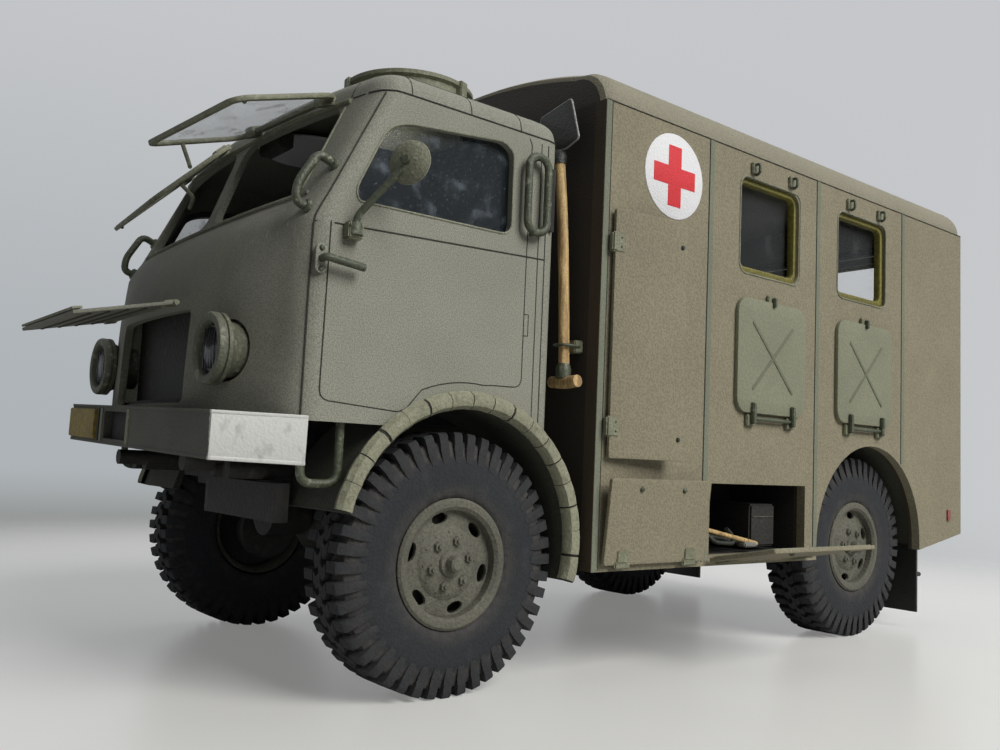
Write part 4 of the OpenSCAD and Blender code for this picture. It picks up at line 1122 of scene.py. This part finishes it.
cross = {"centre": (32.3, 66.8), "disc": 5.95, "arm": 8.5, "bar": 2.65, "reflector": (111.4, 20.3)}


def makeCross():
    y, z = cross["centre"]
    a, b = cross["arm"] / 2, cross["bar"] / 2
    plus = [(y - a, z - b), (y - b, z - b), (y - b, z - a), (y + b, z - a), (y + b, z - b), (y + a, z - b),
            (y + a, z + b), (y + b, z + b),
            (y + b, z + a), (y - b, z + a), (y - b, z + b), (y - a, z + b)]
    return [(placed(plate([circle((y, z), cross["disc"], 64)], 0.16, 0.03), onSide(van["half"] - 0.08)), whitePrint),
            (placed(plate([plus], 0.14, 0.02), onSide(van["half"] - 0.02)), redPrint)]


assemble("redCross", bothSides(makeCross()))


def makeReflector():
    y, z = cross["reflector"]
    return [(placed(lathe([(0, 0.3), (0.4, 0.28), (0.62, 0.18), (0.7, 0.03), (0.7, -0.1), (0, -0.1)], 28),
                    Matrix.Translation((van["half"], y, z)) @ onSide(0)), redFilm)]


assemble("sideReflectors", bothSides(makeReflector()))

shutters = {"at": ((46.4, 35.4), (72.6, 35.4)), "width": 17, "height": 16.9, "corner": 2.2, "thick": 0.7}


def makeShutters():
    parts = []
    w, h, r, t = shutters["width"], shutters["height"], shutters["corner"], shutters["thick"]
    side = van["half"]
    for y, z in shutters["at"]:
        parts.append((placed(plate([roundedBox((y, z), (y + w, z + h), r)], t, 0.12), onSide(side)), shutterPaint))
        cy, cz = y + w / 2, z + h / 2
        # the pressed X, one groove laid over the other
        reach = w / 2 - 3.1
        for n, sz in enumerate((1, -1)):
            pose = Matrix.Translation((0, cy, cz)) @ onSide(side + t - 0.04 + 0.03 * n)
            groove = plate([roundedBox((-reach * 1.32, -0.26), (reach * 1.32, 0.26), 0.24)], 0.12, 0.05)
            bar = placed(groove, pose @ Matrix.Rotation(math.radians(45 * sz), 4, "Z"))
            parts.append((bar, shutterMark))
        # top latch and the pair of bottom clips joined by a bar
        latch = z + h
        parts.append((block((side, cy - 1.2, latch - 0.1), (side + 0.55, cy + 1.2, latch + 1.0), 0.12), greenPaint))
        parts.append((block((side + 0.3, cy - 0.35, latch - 0.7), (side + 1.15, cy + 0.35, latch + 0.7), 0.12),
                      wirePaint))
        for sy in (3.6, w - 3.6):
            parts.append((block((side, y + sy - 1.0, z - 1.9), (side + 0.6, y + sy + 1.0, z - 0.2), 0.12),
                          greenPaint))
            parts.append((block((side + 0.3, y + sy - 0.42, z - 1.6), (side + 1.3, y + sy + 0.42, z + 1.5), 0.14),
                          wirePaint))
        parts.append((tube([[(side + 0.7, y + 3.6, z - 0.8), (side + 0.7, y + w - 3.6, z - 0.8)]], 0.3), wirePaint))
        for sy in (3.7, w - 3.7):
            parts.append((block((side, y + sy - 0.7, 71.2), (side + 0.45, y + sy + 0.7, 72.9), 0.1), greenPaint))
            hook = softPath([(side + 0.2, y + sy, 72.6), (side + 1.2, y + sy, 72.6), (side + 1.2, y + sy, 71.2),
                             (side + 0.5, y + sy, 71.0)], 0.4)
            parts.append((tube([hook], 0.22), wirePaint))
    return parts


assemble("shutters", bothSides(makeShutters()), replaces=("shutters", "shutter_clips"))
print("van ready")

lockers = {"ajar": {"tall": 8, "front": 6, "middle": 78}, "thick": 0.55}


def tallPose(side):
    pose = Matrix.Translation((32.65, 20.3, 28)) @ Matrix.Rotation(-math.radians(lockers["ajar"]["tall"]), 4, "Z")
    return pose if side == "left" else mirrorX @ pose


def makeTallDoor(side):
    t = lockers["thick"] / 2
    panel = placed(plate([roundedBox((0.1, -0.2), (12.2, 31.8), 0.3)], 2 * t, 0.08), onSide(-t))
    parts = [(panel, vanCard)]
    for z in (2.5, 26.1):
        parts.append((block((-0.45, -0.5, z), (0.55, 0.5, z + 2.6), 0.2), greenPaint))
        parts.append((block((t - 0.1, 0.2, z + 0.1), (t + 0.12, 1.5, z + 2.5), 0.05), greenPaint))
        parts.append(rivets([((t + 0.1, 1.0, z + 0.7), (1, 0, 0)), ((t + 0.1, 1.0, z + 1.9), (1, 0, 0))], wirePaint,
                            0.4))
    parts.append(rivets([((t, 11.4, 28.3), (1, 0, 0)), ((t, 11.4, 2.6), (1, 0, 0))], blackWire, 0.9))
    return [(placed(m, tallPose(side)), k) for m, k in parts]


def lowPose(side, kind):
    turn = math.radians(lockers["ajar"][kind])
    pose = Matrix.Translation((32.65, 0, 14.5)) @ Matrix.Rotation(turn, 4, "Y")
    return pose if side == "left" else mirrorX @ pose


def makeLowFlap(side, kind):
    t = lockers["thick"] / 2
    y0, y1 = (20.1, 39.4) if kind == "front" else (40.9, 65.5)
    panel = placed(plate([roundedBox((y0, 0), (y1, 10.9), 0.35)], 2 * t, 0.08), onSide(-t))
    parts = [(panel, vanCard)]
    marks = (y0 + 3.2, y1 - 3.2)
    for y in marks:
        parts.append((block((-0.5, y - 1.4, -0.5), (0.55, y + 1.4, 0.45), 0.18), greenPaint))
        parts.append((block((t - 0.08, y - 1.0, 0.3), (t + 0.22, y + 1.0, 1.8), 0.08), greenPaint))
    top = [((t, y, 9.6), (1, 0, 0)) for y in (y0 + 5.5, y1 - 5.5)]
    parts.append(rivets(top, wirePaint, 1.1))
    if kind == "middle":
        # the open flap's inside is plain card with a folded rim
        rim = [(-t, y, z) for y, z in roundedBox((y0 + 0.4, 0.4), (y1 - 0.4, 10.5), 0.35)]
        parts.append((tube([rim], 0.12, closed=True, sides=1), paleEdge))
    return [(placed(m, lowPose(side, kind)), k) for m, k in parts]


for side in ("left", "right"):
    title = side.capitalize()
    assemble("tallDoor" + title, makeTallDoor(side), "tall_door_%s_body" % side, ("tall_door_" + side,))
    for kind in ("front", "middle"):
        assemble(kind + "Flap" + title, makeLowFlap(side, kind), "%s_flap_%s_body" % (kind, side),
                 ("%s_flap_%s" % (kind, side),))


def makeRearDoor(side):
    outline = roundedBox((0.15, 28.7), (19.35, 72.5), 0.5)
    window = roundedBox((2.6, 56), (17.4, 71), 1.5)[::-1]
    parts = [(placed(plate([outline, window], 1.5, 0.15), onFront(116.6)), vanCard)]
    surround = [roundedBox((2.55, 55.95), (17.45, 71.05), 1.5), roundedBox((3.4, 56.8), (16.6, 70.2), 1.0)[::-1]]
    parts.append((placed(plate(surround, 0.5, 0.08), onFront(116.2)), yellowOlive))
    parts.append((placed(plate([roundedBox((2.8, 56.2), (17.2, 70.8), 1.3)], 0.12), onFront(115.85)), windowFilm))
    for z in (33.5, 48.5, 63.5):
        parts.append((block((17.2, 116.2, z), (19.6, 117.0, z + 2.2), 0.15), greenPaint))
        parts.append((tube([[(19.4, 116.9, z - 0.2), (19.4, 116.9, z + 2.4)]], 0.42), greenPaint))
    handle = softPath([(1.6, 116.4, 43.5), (1.6, 117.7, 43.5), (1.6, 117.7, 47.8), (1.6, 116.4, 47.8)], 0.6)
    parts.append((tube([handle], 0.33), wirePaint))
    panel = [(x, 116.62, z) for x, z in roundedBox((2.6, 30.8), (16.9, 49.3), 1.5)]
    parts.append((tube([panel], 0.08, closed=True, sides=1), printedLine))
    if side == "right":
        parts = [(placed(m, mirrorX), k) for m, k in parts]
    return parts


for side in ("left", "right"):
    assemble("rearDoor" + side.capitalize(), makeRearDoor(side), "rear_door_%s_body" % side,
             ("rear_door_" + side,))
print("doors ready")

load = {"box": ((19, 55.4, 15.6), (28.8, 61.6, 22)), "tubes": 2}


def makeLoad():
    low, high = load["box"]
    parts = [(block(low, high, 0.3), chassisPaint),
             (block((high[0] - 0.1, low[1] + 0.5, high[2] - 2), (high[0] + 0.12, high[1] - 0.5, high[2] - 1.8),
                    0.04), wirePaint),
             (block((20, 44, 15), (28.6, 46, 16.2), 0.15), chassisPaint)]
    for k in range(load["tubes"]):
        parts.append((tube([[(24.5 + 2.4 * k, 43.2, 17.2), (25.5 + 2.4 * k, 54.6, 16.4)]], 0.6), blackWire))
    parts.append((tube([softPath([(30, 43.4, 17.8), (30.4, 45, 16.6), (30.2, 49.5, 16.3), (29.2, 50.6, 17.4),
                                  (29.6, 48.6, 18.4)], 0.8)], 0.32), blackWire))
    parts.append((tube([[(29.4, 42.6, 18.6), (30.2, 55, 16.2)]], 0.38), shovelWood))
    parts.append((block((29.2, 51.5, 15.8), (30.8, 54.5, 16.5), 0.2), steelEdge))
    return parts


shovel = {"low": (28.6, 16.2, 38), "high": (26.1, 16.2, 67.6), "radius": 0.7, "blade": (26.7, 70.8)}


def makeShovel():
    low, high, r = shovel["low"], shovel["high"], shovel["radius"]
    shaft = tube([softPath([low, (28.1, 16.2, 48), (27.3, 16.15, 59), high], 6)], r, sides=5)
    grip = tube([softPath([(26.4, 16.2, 37.2), (28.8, 16.2, 37.0), (31.2, 16.2, 37.2)], 1.2)], 0.78, sides=5)
    collar = lathe([(0.5, 0), (0.95, 0.05), (1.0, 1.2), (0.75, 1.9), (0.5, 1.9)], 20, ring=True)
    cx, cz = shovel["blade"]
    outline = softPath([(cx - 1, cz + 3.1, 0), (cx + 1.4, cz + 3.6, 0), (cx + 3.1, cz - 2.1, 0),
                        (cx + 0.8, cz - 2.9, 0), (cx - 1.2, cz - 2.9, 0),
                        (cx - 4.5, cz - 1.6, 0), (cx - 4.5, cz + 2.4, 0), (cx - 1, cz + 3.1, 0)], 0.5)[:-1]
    blade = placed(plate([[(p[0], p[1]) for p in outline]], 0.45, 0.1), onFront(16.45))
    rim = [(p[0], 16.2, p[1]) for p in outline]
    return [(shaft, shovelWood), (grip, shovelWood),
            (placed(collar, Matrix.Translation((28.5, 16.2, 37.6))), wirePaint),
            (placed(collar, Matrix.Translation((26.15, 16.2, 65.9))), blackWire), (blade, blackWire),
            (tube([rim], 0.16, closed=True, sides=2), steelEdge)]


def makeClip():
    band = softPath([(27.2, 17.9, 41.8), (27.2, 15.2, 41.8), (29.5, 15.2, 41.8), (29.5, 17.9, 41.8)], 0.9)
    return [(block((27.4, 17.2, 41), (29.4, 18.7, 42.6), 0.15), greenPaint), (tube([band], 0.2), wirePaint)]


assemble("lockerLoad", bothSides(makeLoad()), replaces=("locker_load",))
assemble("shovel", makeShovel(), replaces=("shovel",))
assemble("shovelClip", makeClip(), replaces=("shovel_clip",))


def makeAxle(y):
    housing = lathe([(0, 5.1), (1.6, 5.0), (2.2, 4.3), (3.6, 3.4), (4.7, 1.6), (5.0, 0), (4.7, -1.6), (3.6, -3.4),
                     (2.2, -4.3), (1.6, -5.0), (0, -5.1)], 40)
    across = matrixOf((0, 1, 0), (0, 0, 1), (1, 0, 0), (0, y, 17.6))
    parts = [(placed(housing, across), chassisPaint)]
    bolts = [(((1 if n else -1) * 2.2, y + 3.7 * math.cos(math.radians(45 * k)),
               17.6 + 3.7 * math.sin(math.radians(45 * k))), (1 if n else -1, 0, 0))
             for k in range(8) for n in (0, 1)]
    parts.append(rivets(bolts, chassisPaint, 0.9))
    for sign in (1, -1):
        outwards = matrixOf((0, sign, 0), (0, 0, 1), (sign, 0, 0), (0, 0, 0))
        shaft = [(sign * 4.4, y, 17.4), (sign * 18.9, y, 15.1)]
        parts.append((tube([shaft], 1.5, sides=5), chassisPaint))
        gaiter = lathe([(1.4, 0)] + [(2.0 + 0.35 * (k % 2) - 0.06 * k,
                                      0.25 + 0.4 * k) for k in range(8)] + [(1.4, 3.4)], 28, ring=True)
        parts.append((placed(gaiter, Matrix.Translation((sign * 4.8, y, 17.3)) @ outwards), darkCard))
        drum = lathe([(0, 21.0), (3.9, 21.0), (4.5, 20.6), (4.6, 19.6), (4.6, 19.2), (4.3, 18.9), (0, 18.8)], 44)
        parts.append((placed(drum, Matrix.Translation((0, y, 14.95)) @ outwards), chassisPaint))
    return parts


assemble("frontAxle", makeAxle(0), replaces=("front_axle",))
assemble("rearAxle", makeAxle(84.4), replaces=("rear_axle",))

wells = {"centre": (84.4, 15.7), "radius": 16.7, "inside": 16.2, "outside": 29.9, "wall": 0.4}


def makeWheelWell():
    (cy, cz), r, wall = wells["centre"], wells["radius"], wells["wall"]
    rings = []
    for k in range(33):
        a = math.radians(-2 + 184 * k / 32)
        rings.append([(x, cy + q * math.cos(a), cz + q * math.sin(a)) for x,
                      q in ((wells["inside"], r), (wells["outside"], r), (wells["outside"], r + wall),
                            (wells["inside"], r + wall))])
    half = [(cy + r * math.cos(math.radians(5.625 * k)),
             cz + r * math.sin(math.radians(5.625 * k))) for k in range(33)]
    return [(loft(rings), fenderInside), (placed(plate([half], wall), onSide(wells["inside"] - wall)), darkCard)]


assemble("wheelWells", bothSides(makeWheelWell()))

flaps = {"y": (103.65, 104.15), "x": (19.5, 29.9), "low": 2.9, "high": 26, "bolts": (21.2, 24.7, 28.2)}


def makeMudFlap():
    (near, far), (left, right) = flaps["y"], flaps["x"]
    rings = []
    for k in range(9):
        z = flaps["high"] + (flaps["low"] - flaps["high"]) * k / 8
        rings.append([(left, near, z), (right, near, z), (right, far, z), (left, far, z)])
    parts = [(loft(rings), blackWire)]
    for x in flaps["bolts"]:
        parts.append(rivets([((x, 103.62, 24.6), (0, -1, 0)), ((x, 104.18, 24.6), (0, 1, 0))], steelEdge, 0.7))
    parts.append((tube([[(28.6, 103.6, 9.4), (28.6, 107.2, 9.4)]], 0.42), blackWire))
    return parts


assemble("mudFlaps", bothSides(makeMudFlap()), replaces=("mud_flaps",))

inside = {"ceilingDisc": (-6.5, -3.2, 70.7), "headerBox": ((-1.5, -13.4, 66.2), (5, -11.4, 69.8))}


def makeCabInside():
    x, y, z = inside["ceilingDisc"]
    low, high = inside["headerBox"]
    parts = [(placed(lathe([(0, 0.0), (7.1, 0.0), (7.5, -0.25), (7.3, -0.5), (0, -0.6)], 48),
                     Matrix.Translation((x, y, z))), whitePrint),
             (block(low, high, 0.25), fenderInside),
             (block((-26.5, 18.0, 57.5), (-16.5, 18.8, 66.5), 0.2), darkCard)]
    return parts


assemble("cabInside", makeCabInside())

finishes = {"chassis": chassisPaint, "engine": chassisPaint, "cab_floor": darkCard, "seats": darkCard,
            "steering_wheel": blackWire, "door_glass": doorFilm,
            "van_side_left": vanSidesFrontShade, "van_side_right": vanSidesFrontShade, "van_ends": vanEndsShaded, "van_floor": darkCard,
            "van_glass": windowFilm,
            "lockers_left": darkCard, "lockers_right": darkCard, "tow_hook": chassisPaint, "rear_lamps": redFilm,
            "bunks": innerCard}
for name, material in finishes.items():
    mesh = frame["nodes"][name].data
    mesh.materials.clear()
    mesh.materials.append(material)
print("nodes coloured")

studio = {"floor": (0.62, 0.62, 0.6), "floorRough": 0.32, "floorGlow": 0.2, "ambient": 0.07, "key": 7.2, "top": 1.1,
          "fade": (0.11, 0.26)}


def makeFloor():
    bpy.ops.mesh.primitive_plane_add(size=8)
    floor = bpy.context.object
    floor.name = "floor"
    material, tree, shader, place = startMaterial("floorMaterial", studio["floorRough"])
    patch = soften(tree, noise(tree, place, 60, 3), 0.3, 0.7)
    colour = blendColours(tree, patch, shade(studio["floor"], 0.96), studio["floor"])
    tree.links.new(colour, shader.inputs["Base Color"])
    glow = addNode(tree, "ShaderNodeLightPath").outputs["Is Camera Ray"]
    shader.inputs["Emission Color"].default_value = (1, 1, 0.98, 1)
    tree.links.new(maths(tree, "MULTIPLY", glow, studio["floorGlow"]), shader.inputs["Emission Strength"])
    # the floor fades softly into the backdrop
    away = addNode(tree, "ShaderNodeVectorMath", {0: place}, operation="LENGTH").outputs["Value"]
    tree.links.new(soften(tree, away, *studio["fade"], 1.0, 0.0), shader.inputs["Alpha"])
    floor.data.materials.append(material)


def makeWorld():
    world = bpy.data.worlds.new("studio")
    scene.world = world
    world.use_nodes = True
    tree = world.node_tree
    tree.nodes.clear()
    path = addNode(tree, "ShaderNodeLightPath")
    seen = maths(tree, "MAXIMUM", maths(tree, "MAXIMUM", path.outputs["Is Camera Ray"],
                                        path.outputs["Is Glossy Ray"]), path.outputs["Is Transmission Ray"])
    way = addNode(tree, "ShaderNodeTexCoord").outputs["Generated"]
    parts = addNode(tree, "ShaderNodeSeparateXYZ", {0: way})
    # paler to the right and above, a soft grey band at the horizon
    across = maths(tree, "ADD", maths(tree, "MULTIPLY", parts.outputs[0], 0.63),
                   maths(tree, "MULTIPLY", parts.outputs[1], 0.78))
    sideways = soften(tree, across, -0.4, 0.9)
    low = blendColours(tree, sideways, (0.42, 0.45, 0.47), (0.62, 0.63, 0.64))
    high = blendColours(tree, soften(tree, parts.outputs[2], 0.0, 0.5), low, (0.56, 0.57, 0.59))
    band = maths(tree, "MULTIPLY", soften(tree, parts.outputs[2], -0.02, -0.09),
                 soften(tree, parts.outputs[2], -0.22, -0.12))
    band = maths(tree, "MULTIPLY", band, soften(tree, across, 0.6, -0.1))
    high = blendColours(tree, maths(tree, "MULTIPLY", band, 0.8), high, (0.24, 0.245, 0.23))
    shown = addNode(tree, "ShaderNodeBackground", {"Color": high, "Strength": 1.0})
    ambient = addNode(tree, "ShaderNodeBackground", {"Color": (0.9, 0.96, 1, 1), "Strength": studio["ambient"]})
    mixed = addNode(tree, "ShaderNodeMixShader", {0: seen, 1: ambient.outputs[0], 2: shown.outputs[0]})
    addNode(tree, "ShaderNodeOutputWorld", {0: mixed.outputs[0]})


def areaLight(name, place, aim, size, power, colour=(1, 1, 1)):
    lamp = bpy.data.lights.new(name, "AREA")
    lamp.shape, lamp.size, lamp.energy, lamp.color = "SQUARE", size, power, colour
    thing = bpy.data.objects.new(name, lamp)
    scene.collection.objects.link(thing)
    thing.location = place
    thing.rotation_euler = (Vector(aim) - Vector(place)).to_track_quat("-Z", "Y").to_euler()


makeFloor()
makeWorld()
areaLight("keyLight", (0.66, 0.12, 0.56), (0, 0.0, 0.03), 0.5, studio["key"], (1, 0.985, 0.96))
areaLight("topLight", (-0.1, 0.15, 0.9), (0, 0, 0.03), 0.7, studio["top"], (0.97, 0.99, 1))
print("studio ready")
